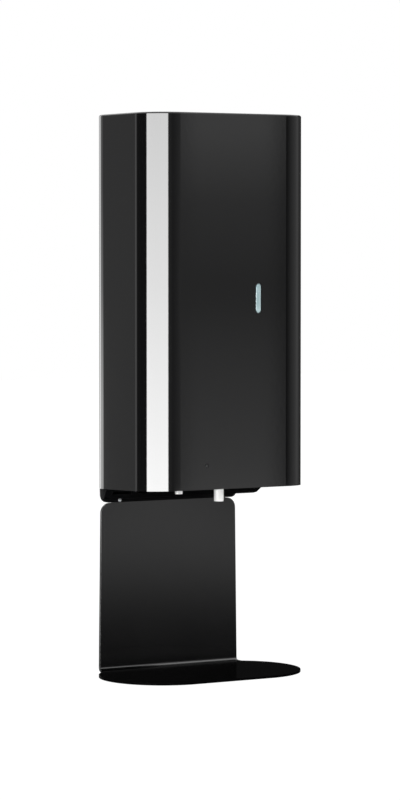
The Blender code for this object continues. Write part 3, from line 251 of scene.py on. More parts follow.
def moulded(name, dark, light, roughness, grainScale, depth, extras=None):
    finish = Finish(name, {"Metallic": 0.0, "IOR": 1.48, **(extras or {})})
    start = finish.start
    grain = start.noise(finish.place, grainScale, 2.0)
    flow = start.noise(finish.along((1.0, 1.0, 0.25)), 36.0, 4.0, 0.6, 0.8)
    colour = start.mix(flow, (*dark, 1), (*light, 1))
    return finish.dress(colour, roughness - 0.06 + flow * 0.12, grain, 0.25, depth)


def bottlePlastic(bottle):
    finish = Finish("milkyBottlePlastic", {"Metallic": 0.0, "IOR": 1.5, "Subsurface Weight": 0.25,
                                           "Subsurface Scale": 0.004})
    start = finish.start
    ripple = start.noise(finish.place, 60.0, 2.0)
    filled = (finish.axis(2) - ripple * 0.0012) < bottle["soapLevel"]
    cloud = start.noise(finish.place, 18.0, 2.0)
    empty = start.mix(cloud, (0.70, 0.74, 0.76, 1), (0.78, 0.81, 0.82, 1))
    soap = start.mix(cloud, (0.50, 0.64, 0.70, 1), (0.56, 0.69, 0.74, 1))
    across = abs(finish.axis(0)) - bottle["panel"][0]
    upDown = abs(finish.axis(2) - bottle["panelMiddle"]) - bottle["panel"][1]
    depth = start.math("SMOOTH_MAX", across, upDown, 0.004)
    panel = (0.5 - depth / 0.003).atLeast(0.0).atMost(1.0) * (finish.axis(1) < bottle["panelFront"])
    seam = 1.0 - (abs(finish.axis(1) - bottle["partingLine"]) / 0.0006).atMost(1.0)
    relief = ripple * 0.3 + seam - panel * 2.5
    return finish.dress(start.mix(filled, empty, soap), 0.26 + cloud * 0.14, relief, 0.35, 0.0004)


def drawnMetal(name, colour, roughness, stretch, scale):
    finish = Finish(name, {"Metallic": 1.0})
    start = finish.start
    streak = start.noise(finish.along(stretch), scale, 3.0, 0.6)
    patch = start.noise(finish.place, 120.0, 2.0)
    dark = tuple(part * 0.82 for part in colour)
    return finish.dress(start.mix(patch, (*dark, 1), (*colour, 1)), roughness - 0.05 + streak * 0.14,
                        streak, 0.12, 0.00004)


def zincPlate():
    finish = Finish("zincPlatedSteel", {"Metallic": 1.0})
    start = finish.start
    spangle = start.node("ShaderNodeTexVoronoi", {"feature": "F1"},
                         {"Vector": finish.place, "Scale": 420.0}, 1)
    tone = start.node("ShaderNodeSeparateColor", None, {0: spangle}, 0)
    streak = start.noise(finish.along((1.0, 1.0, 0.05)), 900.0, 3.0)
    colour = start.mix(tone, (0.46, 0.47, 0.50, 1), (0.60, 0.61, 0.63, 1))
    return finish.dress(colour, 0.30 + tone * 0.14 + streak * 0.06, streak, 0.10, 0.00003)


def circuitGreen():
    finish = Finish("circuitBoard", {"Metallic": 0.0, "IOR": 1.52, "Coat Roughness": 0.15})
    start = finish.start
    across = finish.axis(0)
    up = finish.axis(2)
    bend = start.node("ShaderNodeTexVoronoi", {"feature": "F1", "distance": "MANHATTAN"},
                      {"Vector": finish.along((1, 0, 1)), "Scale": 260.0})
    trackX = start.math("PINGPONG", across, 0.0009) < 0.00028
    trackZ = start.math("PINGPONG", up, 0.0012) < 0.00030
    zone = bend > 0.42
    copper = trackX * zone + trackZ * (1 - zone)
    bare = start.mix(copper, (0.010, 0.105, 0.045, 1), (0.022, 0.200, 0.090, 1))
    forward = 0.0 - finish.axis(1)
    onBoard = (forward < 0.030) * (forward > 0.0136)  # chip, capacitors and switch case
    canTop = (forward > 0.0220) * onBoard
    cased = start.mix(onBoard, bare, (0.011, 0.011, 0.012, 1))
    finish.feed("Metallic", canTop * 0.9)
    finish.feed("Coat Weight", 0.35 + copper * 0.2)
    colour = start.mix(canTop, cased, (0.52, 0.53, 0.54, 1))
    return finish.dress(colour, 0.38 - copper * 0.10, copper, 0.30, 0.00004)


def windowPlastic(window):
    finish = Finish("frostedWindow", {"Metallic": 0.0, "IOR": 1.49, "Coat Weight": 0.6,
                                      "Coat Roughness": 0.05})
    start = finish.start
    frost = start.noise(finish.place, 900.0, 2.0)
    depth = start.noise(finish.along((1.0, 1.0, 0.3)), 90.0, 2.0)
    # painted highlight: the colour is lifted towards the slit's right end and its foot, standing in for the
    # rim highlights of the domed insert
    toRight = (finish.axis(0) - window["middle"][0]) / window["slot"][0] * 2 - 0.2
    toFoot = (window["middle"][1] - finish.axis(2)) / window["slot"][1] * 2 - 0.3
    tint = start.mix(depth, (0.25, 0.36, 0.38, 1), (0.29, 0.40, 0.42, 1))
    light = toRight.atLeast(0.0).atMost(1.0) * 0.6 + toFoot.atLeast(0.0).atMost(1.0) * 0.5
    colour = start.mix(light.atMost(1.0), tint, (0.50, 0.62, 0.63, 1))
    return finish.dress(colour, 0.18 + frost * 0.12, frost, 0.15, 0.00005)


levelWindow = {
    "middle": (0.0256, 0.0090),
    "slot": (0.0050, 0.0250),
    "front": -0.1128,
    "plateFront": -0.1115,
    "plateBack": -0.1105,
    "plateHalf": (0.0066, 0.0166),
    "plateCorner": 0.0035,
    "crown": 0.0006,
}
bottle = {
    "soapLevel": 0.095,
    "panel": (0.040, 0.070),
    "panelMiddle": 0.050,
    "panelFront": -0.100,
    "partingLine": -0.076,
}
finishes = {
    "black_paint": glossPaint(),
    "black_sheet": satinCoat("satinBlackCoat", 0.5),
    # painted shade: the tray's copy of the satin coat has its reflection almost turned off, so the tray top
    # reads dark
    "tray_sheet": satinCoat("flatBlackCoat", 0.002),
    # painted highlight: the bend's copy of the satin coat reflects twice as strongly, drawing a bright line
    # along the bend
    "bend_sheet": satinCoat("rubbedBlackCoat", 1.0),
    "black_plastic": mouldedBlack(),
    "white_plastic": moulded("whiteMouldedPlastic", (0.86, 0.86, 0.85), (0.90, 0.90, 0.89),
                             0.26, 700.0, 0.00003),
    "grey_plastic": moulded("greyMouldedPlastic", (0.26, 0.27, 0.28), (0.33, 0.34, 0.35),
                            0.50, 1300.0, 0.00005),
    "gear_plastic": moulded("naturalGearPlastic", (0.76, 0.74, 0.67), (0.84, 0.82, 0.76), 0.40, 1000.0,
                            0.00003, {"Subsurface Weight": 0.15, "Subsurface Scale": 0.002}),
    "window_plastic": windowPlastic(levelWindow),
    "bottle_plastic": bottlePlastic(bottle),
    "steel": drawnMetal("groundSteel", (0.62, 0.62, 0.63), 0.24, (1.0, 1.0, 0.04), 1400.0),
    "zinc_plate": zincPlate(),
    "brass": drawnMetal("turnedBrass", (0.72, 0.53, 0.22), 0.28, (1.0, 0.05, 1.0), 1600.0),
    "board_green": circuitGreen(),
    "dark_plastic": moulded("darkMouldedPlastic", (0.024, 0.024, 0.025), (0.030, 0.030, 0.031),
                            0.42, 900.0, 0.00004),
}
print("finishes made:", len(finishes))


# Shared making of meshes
weld = 0.000001  # points nearer than this are one
near = 0.0001  # how far a point may lie from the face it belongs to


def linkTo(collection, name, mesh):
    thing = bpy.data.objects.new(name, mesh)
    collection.objects.link(thing)
    return thing


def takeMesh(bm, name):
    mesh = bpy.data.meshes.new(name)
    bm.to_mesh(mesh)
    bm.free()
    return mesh


def boxMesh(low, high):
    bm = bmesh.new()
    middle = (Vector(low) + Vector(high)) / 2
    size = Vector(high) - Vector(low)
    bmesh.ops.create_cube(bm, size=1, matrix=Matrix.Translation(middle) @ Matrix.Diagonal((*size, 1)))
    return bm


def upright(edge):
    run = edge.verts[1].co - edge.verts[0].co
    return abs(run.z) > 0.999 * run.length


def roundedPath(halfX, halfY, radius, steps=8):
    # a rectangle about the middle with rounded corners
    points = []
    for quarter, (x, y) in enumerate(((-1, -1), (1, -1), (1, 1), (-1, 1))):
        for step in range(steps + 1):
            angle = math.pi + math.pi / 2 * (quarter + step / steps)
            points.append((x * (halfX - radius) + radius * math.cos(angle),
                           y * (halfY - radius) + radius * math.sin(angle)))
    return points


def settle(thing):
    # modifiers and place go into the mesh
    bpy.context.view_layer.update()
    graph = bpy.context.evaluated_depsgraph_get()
    mesh = bpy.data.meshes.new_from_object(thing.evaluated_get(graph))
    mesh.transform(thing.matrix_world)
    made = bpy.data.objects.new(thing.name + "Made", mesh)
    name = thing.name
    bpy.data.objects.remove(thing)
    made.name = name
    mesh.name = name
    return made


def modify(thing, kind, **settings):
    modifier = thing.modifiers.new(kind.lower(), kind)
    for key, value in settings.items():
        setattr(modifier, key, value)


def cutWith(thing, tool, operation="DIFFERENCE"):
    modify(thing, "BOOLEAN", operation=operation, solver="EXACT", object=tool)


def softenEdges(thing, width, segments=2, angle=32):
    modify(thing, "BEVEL", width=width, segments=segments, limit_method="ANGLE",
           angle_limit=math.radians(angle))
    modify(thing, "WEIGHTED_NORMAL", keep_sharp=True, weight=60)


def smoothFaces(mesh, angle=32):
    mesh.shade_smooth()
    mesh.set_sharp_from_angle(angle=math.radians(angle))


def softenSheet(sheet, width, segments, angle):
    # a thick sheet made solid, with its edges softened
    sheet = settle(sheet)
    smoothFaces(sheet.data, 28)
    workshop.objects.link(sheet)
    softenEdges(sheet, width, segments, angle)
    return settle(sheet)


def handOver(thing, body, replaced, material=None):
    # a finished piece: material, body, slot and the CAD nodes it stands for
    scene.collection.objects.link(thing)
    if material is not None:
        thing.data.materials.clear()
        thing.data.materials.append(material)
    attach(thing, body)
    if replaced:
        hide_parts(*replaced)


def flatMesh(name, loops):
    # closed outlines filled as one sheet; the inner ones are its holes
    curve = bpy.data.curves.new(name, "CURVE")
    curve.dimensions = "2D"
    curve.fill_mode = "FRONT"
    for loop in loops:
        spline = curve.splines.new("POLY")
        spline.points.add(len(loop) - 1)
        for point, (across, up) in zip(spline.points, loop):
            point.co = (across, up, 0, 1)
        spline.use_cyclic_u = True
    holder = linkTo(workshop, name, curve)
    bpy.context.view_layer.update()
    mesh = bpy.data.meshes.new_from_object(holder.evaluated_get(bpy.context.evaluated_depsgraph_get()))
    bpy.data.objects.remove(holder)
    return mesh


def merged(mesh, angle=0.001):
    # triangles joined into one skin of large faces
    bm = bmesh.new()
    bm.from_mesh(mesh)
    bmesh.ops.remove_doubles(bm, verts=bm.verts, dist=weld)
    bmesh.ops.dissolve_limit(bm, angle_limit=angle, verts=bm.verts, edges=bm.edges)
    return bm


def standing(mesh, depth, centre):
    # a flat outline in the front view, given depth
    bm = merged(mesh)
    grown = bmesh.ops.extrude_face_region(bm, geom=bm.faces[:])
    for vert in [item for item in grown["geom"] if isinstance(item, bmesh.types.BMVert)]:
        vert.co.z += depth
    for vert in bm.verts:
        vert.co = Vector((centre[0] + vert.co.x, centre[1] + depth / 2 - vert.co.z, centre[2] + vert.co.y))
    bmesh.ops.recalc_face_normals(bm, faces=bm.faces)
    return takeMesh(bm, mesh.name)


def roundTool(name, radius, start, end):
    start = Vector(start)
    run = Vector(end) - start
    bm = bmesh.new()
    turn = Vector((0, 0, 1)).rotation_difference(run.normalized()).to_matrix().to_4x4()
    bmesh.ops.create_cone(bm, cap_ends=True, segments=32, radius1=radius, radius2=radius, depth=run.length,
                          matrix=Matrix.Translation(start + run / 2) @ turn)
    return linkTo(workshop, name, takeMesh(bm, name))


def stadium(width, height, steps=8):
    return roundedPath(width / 2, height / 2, width / 2, steps)


def openTree(name, inputs):
    # a geometry tree with named inputs, and a signal for each of them
    tree = bpy.data.node_groups.new(name, "GeometryNodeTree")
    for label, kind in inputs:
        tree.interface.new_socket(label, in_out="INPUT", socket_type="NodeSocket" + kind)
    tree.interface.new_socket("Geometry", in_out="OUTPUT", socket_type="NodeSocketGeometry")
    entry = tree.nodes.new("NodeGroupInput")
    return Signal(tree), [Signal(tree, entry.outputs[i]) for i in range(len(inputs))]


def closeTree(start, shape, material):
    real = start.node("GeometryNodeRealizeInstances", None, {0: shape})
    done = start.node("GeometryNodeSetMaterial", None, {"Geometry": real, "Material": material})
    leave = start.tree.nodes.new("NodeGroupOutput")
    start.tree.links.new(done.socket, leave.inputs[0])
    return start.tree


def growTree(thing, tree, values):
    modifier = thing.modifiers.new(tree.name, "NODES")
    modifier.node_group = tree
    for item in tree.interface.items_tree:
        if item.item_type == "SOCKET" and item.in_out == "INPUT" and item.name in values:
            modifier[item.identifier] = values[item.name]


# Cover: one drawn steel shell with a level slit and a small key hole
cover = {
    "halfWidth": 0.08285,
    "depth": 0.113,
    "top": 0.170,
    "bottom": -0.157,
    "rearDrop": 0.0035,
    "cornerRadius": 0.0290,
    "cornerSteps": 28,
    "topRound": 0.0016,
    "topSteps": 5,
    "sheet": 0.0012,
    "rearOpen": 0.00505,
    "flangeHalf": 0.0683,
    "flangeDepth": 0.0070,
    "floorCut": 0.0032,
    "slit": (0.0256, 0.0090),
    "slitSize": (0.0062, 0.0262),
    "slitCut": 0.006,
    "keyHole": (-0.0276, -0.1362),
    "keyRadius": 0.0019,
    "strike": ((-0.0160, -0.1124, -0.1392), (-0.0110, -0.1038, -0.1332)),
    "lugPlace": 0.0493,
    "lugWidth": 0.0040,
    "lugRadius": 0.0035,
    "lugHole": 0.0018,
    "lugTop": 0.0006,
    "hinge": (-0.0065, 0.1645),
    "edge": 0.00022,
    "overlap": 0.002,
}


def boxTool(name, low, high):
    return linkTo(workshop, name, takeMesh(boxMesh(low, high), name))


def makeCover(cover):
    half, depth, over = cover["halfWidth"], cover["depth"], cover["overlap"]
    bm = boxMesh((-half, -depth, cover["bottom"]), (half, 0, cover["top"]))
    for vert in bm.verts:
        if vert.co.z < 0:
            vert.co.z = cover["bottom"] - cover["rearDrop"] * (depth + vert.co.y) / depth
    bmesh.ops.bevel(bm, geom=[e for e in bm.edges if upright(e)], offset=cover["cornerRadius"],
                    segments=cover["cornerSteps"], affect="EDGES", profile=0.5)
    rim = [e for e in bm.edges if all(v.co.z > cover["top"] - near for v in e.verts)]
    bmesh.ops.bevel(bm, geom=rim, offset=cover["topRound"], segments=cover["topSteps"], affect="EDGES",
                    profile=0.5)
    rear = [f for f in bm.faces if all(v.co.y > -near for v in f.verts)]
    bmesh.ops.delete(bm, geom=rear, context="FACES")
    shell = linkTo(workshop, "coverShell", takeMesh(bm, "coverShell"))
    modify(shell, "SOLIDIFY", thickness=cover["sheet"], offset=-1, use_even_offset=True)
    reach = half + over
    low = cover["bottom"] - over * 5
    slitX, slitZ = cover["slit"]
    keyX, keyZ = cover["keyHole"]
    slot = flatMesh("slitCut", [stadium(*cover["slitSize"])])
    slot = standing(slot, cover["slitCut"], (slitX, -depth, slitZ))
    openings = [boxTool("rearCut", (-reach, -cover["rearOpen"], low), (reach, over, cover["top"] + over)),
                boxTool("floorCut", (-cover["flangeHalf"], cover["flangeDepth"] - depth, low),
                        (cover["flangeHalf"], over, cover["bottom"] + cover["floorCut"])),
                linkTo(workshop, "slitCut", slot),
                roundTool("keyCut", cover["keyRadius"], (keyX, -depth - over * 1.5, keyZ),
                          (keyX, over * 1.5 - depth, keyZ))]
    added = [boxTool("strike", *cover["strike"])]
    hingeY, hingeZ = cover["hinge"]
    width, radius = cover["lugWidth"], cover["lugRadius"]
    pinHoles = []
    for side in (-1, 1):
        left = side * cover["lugPlace"] - width / 2
        right = left + width
        added.append(roundTool("lugBoss", radius, (left, hingeY, hingeZ), (right, hingeY, hingeZ)))
        added.append(boxTool("lugWeb", (left, hingeY - radius, hingeZ),
                             (right, hingeY + radius / 4, cover["top"] - cover["lugTop"])))
        pinHoles.append(roundTool("lugHole", cover["lugHole"], (left - over, hingeY, hingeZ),
                                  (right + over, hingeY, hingeZ)))
    for tool in openings:
        cutWith(shell, tool)
    for tool in added:
        cutWith(shell, tool, "UNION")
    for tool in pinHoles:
        cutWith(shell, tool)
    shell = softenSheet(shell, cover["edge"], 2, 28)
    handOver(shell, "cover", ("front_cover",), finishes["black_paint"])


makeCover(cover)
print("cover made")


# Bracket: a flat blank with its tongue and holes, folded along one line into upright and tray
bracket = {
    "halfWidth": 0.0702,
    "shoulderRadius": 0.0090,
    "shoulderTop": -0.1746,
    "tongueHalf": 0.059,
    "tongueTop": -0.092,
    "trayHalf": 0.0952,
    "trayDepth": 0.1135,
    "trayRadius": 0.05615,
    "trayBottom": -0.3261,
    "traySteps": 40,
    "sheet": 0.0022,
    "bendInside": 0.0025,
    "bendSteps": 10,
    "wallHole": (0.030, -0.120, 0.00275),
    "screwHole": (0.053, -0.1722, 0.0012),
    "bendFaces": (0.15, 0.97),
    "edge": 0.00018,
}


def circlePath(x, y, radius, steps=24):
    return [(x + radius * math.cos(math.tau * i / steps), y + radius * math.sin(math.tau * i / steps))
            for i in range(steps)]


def foldTree(material):
    start, (blank, radius, middle, height) = openTree("foldSheet", (
        ("Geometry", "Geometry"), ("Bend radius", "Float"), ("Bend middle", "Float"),
        ("Bend height", "Float")))
    place = start.node("GeometryNodeInputPosition")
    along = place.part(1)  # 0 at the bend's top, more up the wall
    angle = (0.0 - along / radius).atLeast(0.0).atMost(math.pi / 2)
    forward = (0.0 - along - radius * (math.pi / 2)).atLeast(0.0)
    rise = along.atLeast(0.0)
    y = start.math("COSINE", angle) * radius - middle - forward
    z = height - start.math("SINE", angle) * radius + rise
    folded = start.vector(place.part(0), y, z)
    bent = start.node("GeometryNodeSetPosition", None, {"Geometry": blank, "Position": folded})
    return closeTree(start, bent, material)


def quarterRound(x, y, radius, steps=10):
    angles = [math.pi / 2 * step / steps for step in range(steps + 1)]
    return [(x - radius + radius * math.cos(angle), y - radius + radius * math.sin(angle))
            for angle in angles]


def trayOutline(b, bendLength):
    # the tray's half outline on the blank, from where it leaves the bend's edge round to the front middle
    straight = b["trayHalf"] - b["trayRadius"]
    points = []
    steps = b["traySteps"]
    outer = b["bendInside"] + b["sheet"]
    for step in range(steps + 1):
        angle = math.pi * step / steps
        x = straight + b["trayRadius"] * math.sin(angle)
        y = -b["trayRadius"] + b["trayRadius"] * math.cos(angle)
        if step > steps / 2:
            y = -b["trayDepth"] + b["trayRadius"] + b["trayRadius"] * math.cos(angle)
        if x > b["halfWidth"] or step > steps / 2:
            points.append((x, y + outer - bendLength))
    return points


def makeBracket(b):
    outer = b["bendInside"] + b["sheet"]
    radius = b["bendInside"] + b["sheet"] / 2
    bendTop = b["trayBottom"] + outer
    bendLength = radius * math.pi / 2
    right = trayOutline(b, bendLength)
    shoulder = b["shoulderTop"] - bendTop
    tongue = b["tongueTop"] - bendTop
    corner = b["shoulderRadius"]
    upper = quarterRound(b["halfWidth"], shoulder, corner) + [(b["tongueHalf"], shoulder)]
    upper += quarterRound(b["tongueHalf"], tongue, corner)
    side = right[::-1][1:] + upper
    outline = [(x, y) for x, y in side] + [(-x, y) for x, y in side[::-1]]
    holes = []
    for key in ("wallHole", "screwHole"):
        x, z, r = b[key]
        holes += [circlePath(x, z - bendTop, r), circlePath(-x, z - bendTop, r)]
    bm = merged(flatMesh("bracketSheet", [outline] + holes))
    for step in range(b["bendSteps"] + 1):
        line = -bendLength * step / b["bendSteps"]
        bmesh.ops.bisect_plane(bm, geom=bm.verts[:] + bm.edges[:] + bm.faces[:], plane_co=(0, line, 0),
                               plane_no=(0, 1, 0))
    sheet = linkTo(workshop, "bracketSheet", takeMesh(bm, "bracketSheet"))
    growTree(sheet, foldTree(finishes["black_sheet"]),
             {"Bend radius": radius, "Bend middle": outer, "Bend height": bendTop})
    sheet = settle(sheet)
    workshop.objects.link(sheet)
    modify(sheet, "SOLIDIFY", thickness=b["sheet"], offset=0, use_even_offset=True)
    sheet = softenSheet(sheet, b["edge"], 3, 40)
    # the tray gets the copy with painted shade, the inside of the bend the copy with a painted highlight
    sheet.data.materials.append(finishes["tray_sheet"])
    sheet.data.materials.append(finishes["bend_sheet"])
    least, most = b["bendFaces"]
    for face in sheet.data.polygons:
        if face.center.y < -outer and face.center.z < b["trayBottom"] + b["sheet"] * 2:
            face.material_index = 1
        elif face.center.z < bendTop and least < face.normal.z < most and face.normal.y < -least:
            face.material_index = 2
    handOver(sheet, "base", ("tray_bracket",))


makeBracket(bracket)
print("bracket folded")


# Level window: a frosted insert that stands in the slit, on a plate glued behind the cover
def makeLevelWindow(w):
    x, z = w["middle"]
    halfX, halfZ = w["plateHalf"]
    deep = w["plateBack"] - w["front"]
    insert = flatMesh("windowInsert", [stadium(*w["slot"], 12)])
    insert = linkTo(workshop, "windowInsert", standing(insert, deep, (x, w["front"] + deep / 2, z)))
    plate = standing(flatMesh("windowPlate", [roundedPath(halfX, halfZ, w["plateCorner"])]),
                     w["plateBack"] - w["plateFront"], (x, (w["plateFront"] + w["plateBack"]) / 2, z))
    modify(insert, "BEVEL", width=w["crown"], segments=4, limit_method="ANGLE",
           angle_limit=math.radians(60))
    cutWith(insert, linkTo(workshop, "windowPlate", plate), "UNION")
    insert = settle(insert)
    smoothFaces(insert.data, 40)
    insert.name = "levelWindow"
    handOver(insert, "cover", ("level_window",), finishes["window_plastic"])


makeLevelWindow(levelWindow)
print("level window made")


# Turned pieces: one tree spins an outline, closes its poles and sets the piece at its places
def easedOutline(points, ease, steps=3):
    # corners of an open outline rounded, its two ends kept
    eased = [points[0]]
    for before, corner, after in zip(points, points[1:], points[2:]):
        here = Vector(corner)
        back = Vector(before) - here
        ahead = Vector(after) - here
        reach = min(ease, back.length * 0.45, ahead.length * 0.45)
        first = here + back.normalized() * reach
        last = here + ahead.normalized() * reach
        for step in range(steps + 1):
            share = step / steps
            spot = first.lerp(here, share).lerp(here.lerp(last, share), share)
            eased.append((spot.x, spot.y))
    return eased + [points[-1]]


def turnTree():
    start, (outline, segments, places, material) = openTree("turnedAtPlaces", (
        ("Outline", "Geometry"), ("Segments", "Int"), ("Places", "Object"), ("Finish", "Material")))
    count = start.node("GeometryNodeAttributeDomainSize", {"component": "MESH"}, {0: outline})
    sheet = start.node("GeometryNodeMeshGrid", None, {"Vertices X": segments + 1, "Vertices Y": count})
    index = start.node("GeometryNodeInputIndex")
    turn = start.math("FLOOR", (index + 0.5) / count)
    spot = start.node("GeometryNodeInputPosition")
    point = start.node("GeometryNodeSampleIndex", {"data_type": "FLOAT_VECTOR", "domain": "POINT"},
                       {0: outline, 1: spot, 2: index - turn * count})
    radius, height = point.part(0), point.part(1)
    angle = turn / segments * math.tau
    spun = start.vector(start.math("COSINE", angle) * radius, start.math("SINE", angle) * radius, height)
    shape = start.node("GeometryNodeSetPosition", None, {"Geometry": sheet, "Position": spun})
    closed = start.node("GeometryNodeMergeByDistance", None, {"Geometry": shape, "Distance": weld * 2})
    spots = start.node("GeometryNodeObjectInfo", {"transform_space": "ORIGINAL"}, {"Object": places},
                       "Geometry")
    tip = start.node("GeometryNodeInputNamedAttribute", {"data_type": "FLOAT_VECTOR"}, {"Name": "lean"})
    lean = start.node("FunctionNodeEulerToRotation", None, {0: tip})
    placed = start.node("GeometryNodeInstanceOnPoints", None,
                        {"Points": spots, "Instance": closed, "Rotation": lean})
    return closeTree(start, placed, material)


turnedAtPlaces = turnTree()
toFront = (math.pi / 2, 0, 0)  # leans an upright turned piece towards the front


def spotMesh(name, spots):
    # loose points, each with the lean of the piece that stands there
    mesh = bpy.data.meshes.new(name)
    mesh.from_pydata([place for place, _ in spots], [], [])
    lean = mesh.attributes.new("lean", "FLOAT_VECTOR", "POINT")
    for index, (_, tip) in enumerate(spots):
        lean.data[index].vector = tip
    return linkTo(workshop, name, mesh)


def turnPieces(name, outline, spots, finish, segments=48, sharp=34):
    mesh = bpy.data.meshes.new(name)
    mesh.from_pydata([(radius, height, 0) for radius, height in outline],
                     [(i, i + 1) for i in range(len(outline) - 1)], [])
    piece = linkTo(workshop, name, mesh)
    growTree(piece, turnedAtPlaces,
             {"Segments": segments, "Places": spotMesh(name + "Places", spots), "Finish": finish})
    piece = settle(piece)
    bm = bmesh.new()
    bm.from_mesh(piece.data)
    bmesh.ops.dissolve_degenerate(bm, edges=bm.edges, dist=weld / 2)
    bmesh.ops.recalc_face_normals(bm, faces=bm.faces)
    bm.to_mesh(piece.data)
    bm.free()
    smoothFaces(piece.data, sharp)
    return piece


slotOf = {entry["node"]: entry["material_slot"] for entry in frame["record"]["subparts"]}
bodyOf = {node: body for body, members in frame["record"]["behaviour"]["bodies"].items()
          for node in members}


# Bracket screws: pan heads with a cross recess
bracketScrew = {
    "places": ((-0.053, -0.1722), (0.053, -0.1722)),
    "seat": -0.00505,
    "headRadius": 0.0017,
    "headHeight": 0.0009,
    "shaftRadius": 0.0009,
    "shaftLength": 0.00475,
    "dome": ((0, 1), (0.45, 0.96), (0.82, 0.70), (1, 0.22)),
    "crossHalf": 0.001054,
    "crossWidth": 0.00042,
    "crossDepth": 0.0005,
    "thread": 7,
    "threadRoot": 0.80,
    "threadPlace": (0.3, 0.65),
}


def makeBracketScrews(b):
    radius, height, shaft = b["headRadius"], b["headHeight"], b["shaftRadius"]
    outline = [(radius * out, height * up) for out, up in b["dome"]] + [(radius, 0), (shaft, 0)]
    pitch = b["shaftLength"] / b["thread"]
    root = shaft * b["threadRoot"]
    crestPlace, rootPlace = b["threadPlace"]
    for turn in range(b["thread"]):
        outline += [(shaft, -pitch * (turn + crestPlace)), (root, -pitch * (turn + rootPlace))]
    outline += [(root, -b["shaftLength"]), (0, -b["shaftLength"])]
    spots = [((x, b["seat"], z), toFront) for x, z in b["places"]]
    screws = turnPieces("bracketScrews", outline, spots, finishes["zinc_plate"], 32)
    workshop.objects.link(screws)
    face = b["seat"] - height
    long, narrow = b["crossHalf"], b["crossWidth"] / 2
    for x, z in b["places"]:
        for wide, tall in ((long, narrow), (narrow, long)):
            cutWith(screws, boxTool("cross", (x - wide, face - b["crossDepth"] * 2, z - tall),
                                    (x + wide, face + b["crossDepth"], z + tall)))
    screws = settle(screws)
    smoothFaces(screws.data, 34)
    handOver(screws, "base", ("bracket_screw_left", "bracket_screw_right"),
             finishes["zinc_plate"])


makeBracketScrews(bracketScrew)


# Pump: piston with its nozzle, and the barrel
pump = {
    "middle": (0.0, -0.088),
    "stem": 0.0040,
    "groove": (-0.1208, -0.1152),
    "flange": (0.0072, 0.0018),
    "nozzle": 0.0043,
    "nozzleTop": -0.130,
    "slope": 0.0008,
    "tip": -0.1697,
    "top": -0.080,
    "bore": (0.0018, 0.014),
    "ease": 0.0005,
}


def makePiston(pump):
    stem, nozzle, tip = pump["stem"], pump["nozzle"], pump["tip"]
    low, high = pump["groove"]
    wide, thick = pump["flange"]
    bore, boreDepth = pump["bore"]
    outline = [(0, pump["top"]), (stem, pump["top"]), (stem, high + thick), (wide, high + thick),
               (wide, high), (stem, high), (stem, low), (wide, low), (wide, low - thick),
               (stem, low - thick), (stem, pump["nozzleTop"] + pump["slope"]), (nozzle, pump["nozzleTop"]),
               (nozzle, tip), (bore, tip), (bore, tip + boreDepth), (0, tip + boreDepth)]
    spots = [((*pump["middle"], 0), (0, 0, 0))]
    piston = turnPieces("pistonAndNozzle", easedOutline(outline, pump["ease"]), spots,
                        finishes["white_plastic"], 64)
    handOver(piston, bodyOf["pump_piston"], ("pump_piston",))


makePiston(pump)


# Barrel and the ribbed neck cap that holds it
barrel = {
    "top": -0.0553,
    "flange": (0.0130, 0.0016),
    "radius": 0.0110,
    "low": -0.0920,
    "bore": (0.0043, 0.022),
    "stepAt": 0.0120,
    "step": 0.0004,
}
neckCap = {
    "radius": 0.0170,
    "top": -0.0493,
    "low": -0.0622,
    "inside": -0.0572,
    "neckHole": 0.0133,
    "barrelHole": 0.0113,
    "ribs": 36,
    "ribMiddle": -0.05615,
    "rib": (0.0009, 0.0010, 0.0100),
    "ease": 0.0005,
}


def makeBarrel(b, middle):
    wide, thick = b["flange"]
    bore, deep = b["bore"]
    radius, low, step = b["radius"], b["low"], b["step"]
    stepAt = low + b["stepAt"]
    outline = [(0, b["top"]), (wide, b["top"]), (wide, b["top"] - thick), (radius, b["top"] - thick),
               (radius, stepAt), (radius - step, stepAt - step), (radius - step, low), (bore, low),
               (bore, low + deep), (0, low + deep)]
    piece = turnPieces("pumpBarrel", easedOutline(outline, step), [((*middle, 0), (0, 0, 0))],
                       finishes["white_plastic"], 64)
    handOver(piece, "base", ("pump_cylinder",))


def ribTree():
    start, (cap, count, radius, middle, size, material) = openTree("ribsAround", (
        ("Cap", "Geometry"), ("Count", "Int"), ("Radius", "Float"), ("Middle", "Vector"),
        ("Rib size", "Vector"), ("Finish", "Material")))
    ring = start.node("GeometryNodeMeshCircle", {"fill_type": "NONE"},
                      {"Vertices": count, "Radius": radius})
    index = start.node("GeometryNodeInputIndex")
    tip = start.vector(0.0, 0.0, index / count * math.tau)
    lean = start.node("FunctionNodeEulerToRotation", None, {0: tip})
    rib = start.node("GeometryNodeMeshCube", None, {"Size": size})
    ribs = start.node("GeometryNodeInstanceOnPoints", None,
                      {"Points": ring, "Instance": rib, "Rotation": lean})
    moved = start.node("GeometryNodeTransform", None, {"Geometry": ribs, "Translation": middle})
    both = start.node("GeometryNodeJoinGeometry", None, {0: cap})
    start.tree.links.new(moved.socket, both.socket.node.inputs[0])
    return closeTree(start, both, material)


def makeNeckCap(c, middle):
    outline = [(c["neckHole"], c["top"]), (c["radius"], c["top"]), (c["radius"], c["low"]),
               (c["barrelHole"], c["low"]), (c["barrelHole"], c["inside"]), (c["neckHole"], c["inside"]),
               (c["neckHole"], c["top"])]
    cap = turnPieces("neckCap", easedOutline(outline, c["ease"]), [((*middle, 0), (0, 0, 0))],
                     finishes["white_plastic"], 72)
    workshop.objects.link(cap)
    growTree(cap, ribTree(), {"Count": c["ribs"], "Radius": c["radius"], "Rib size": c["rib"],
                              "Middle": (*middle, c["ribMiddle"]), "Finish": finishes["white_plastic"]})
    cap = settle(cap)
    smoothFaces(cap.data, 34)
    handOver(cap, "base", ("pump_collar",))


makeBarrel(barrel, pump["middle"])
makeNeckCap(neckCap, pump["middle"])


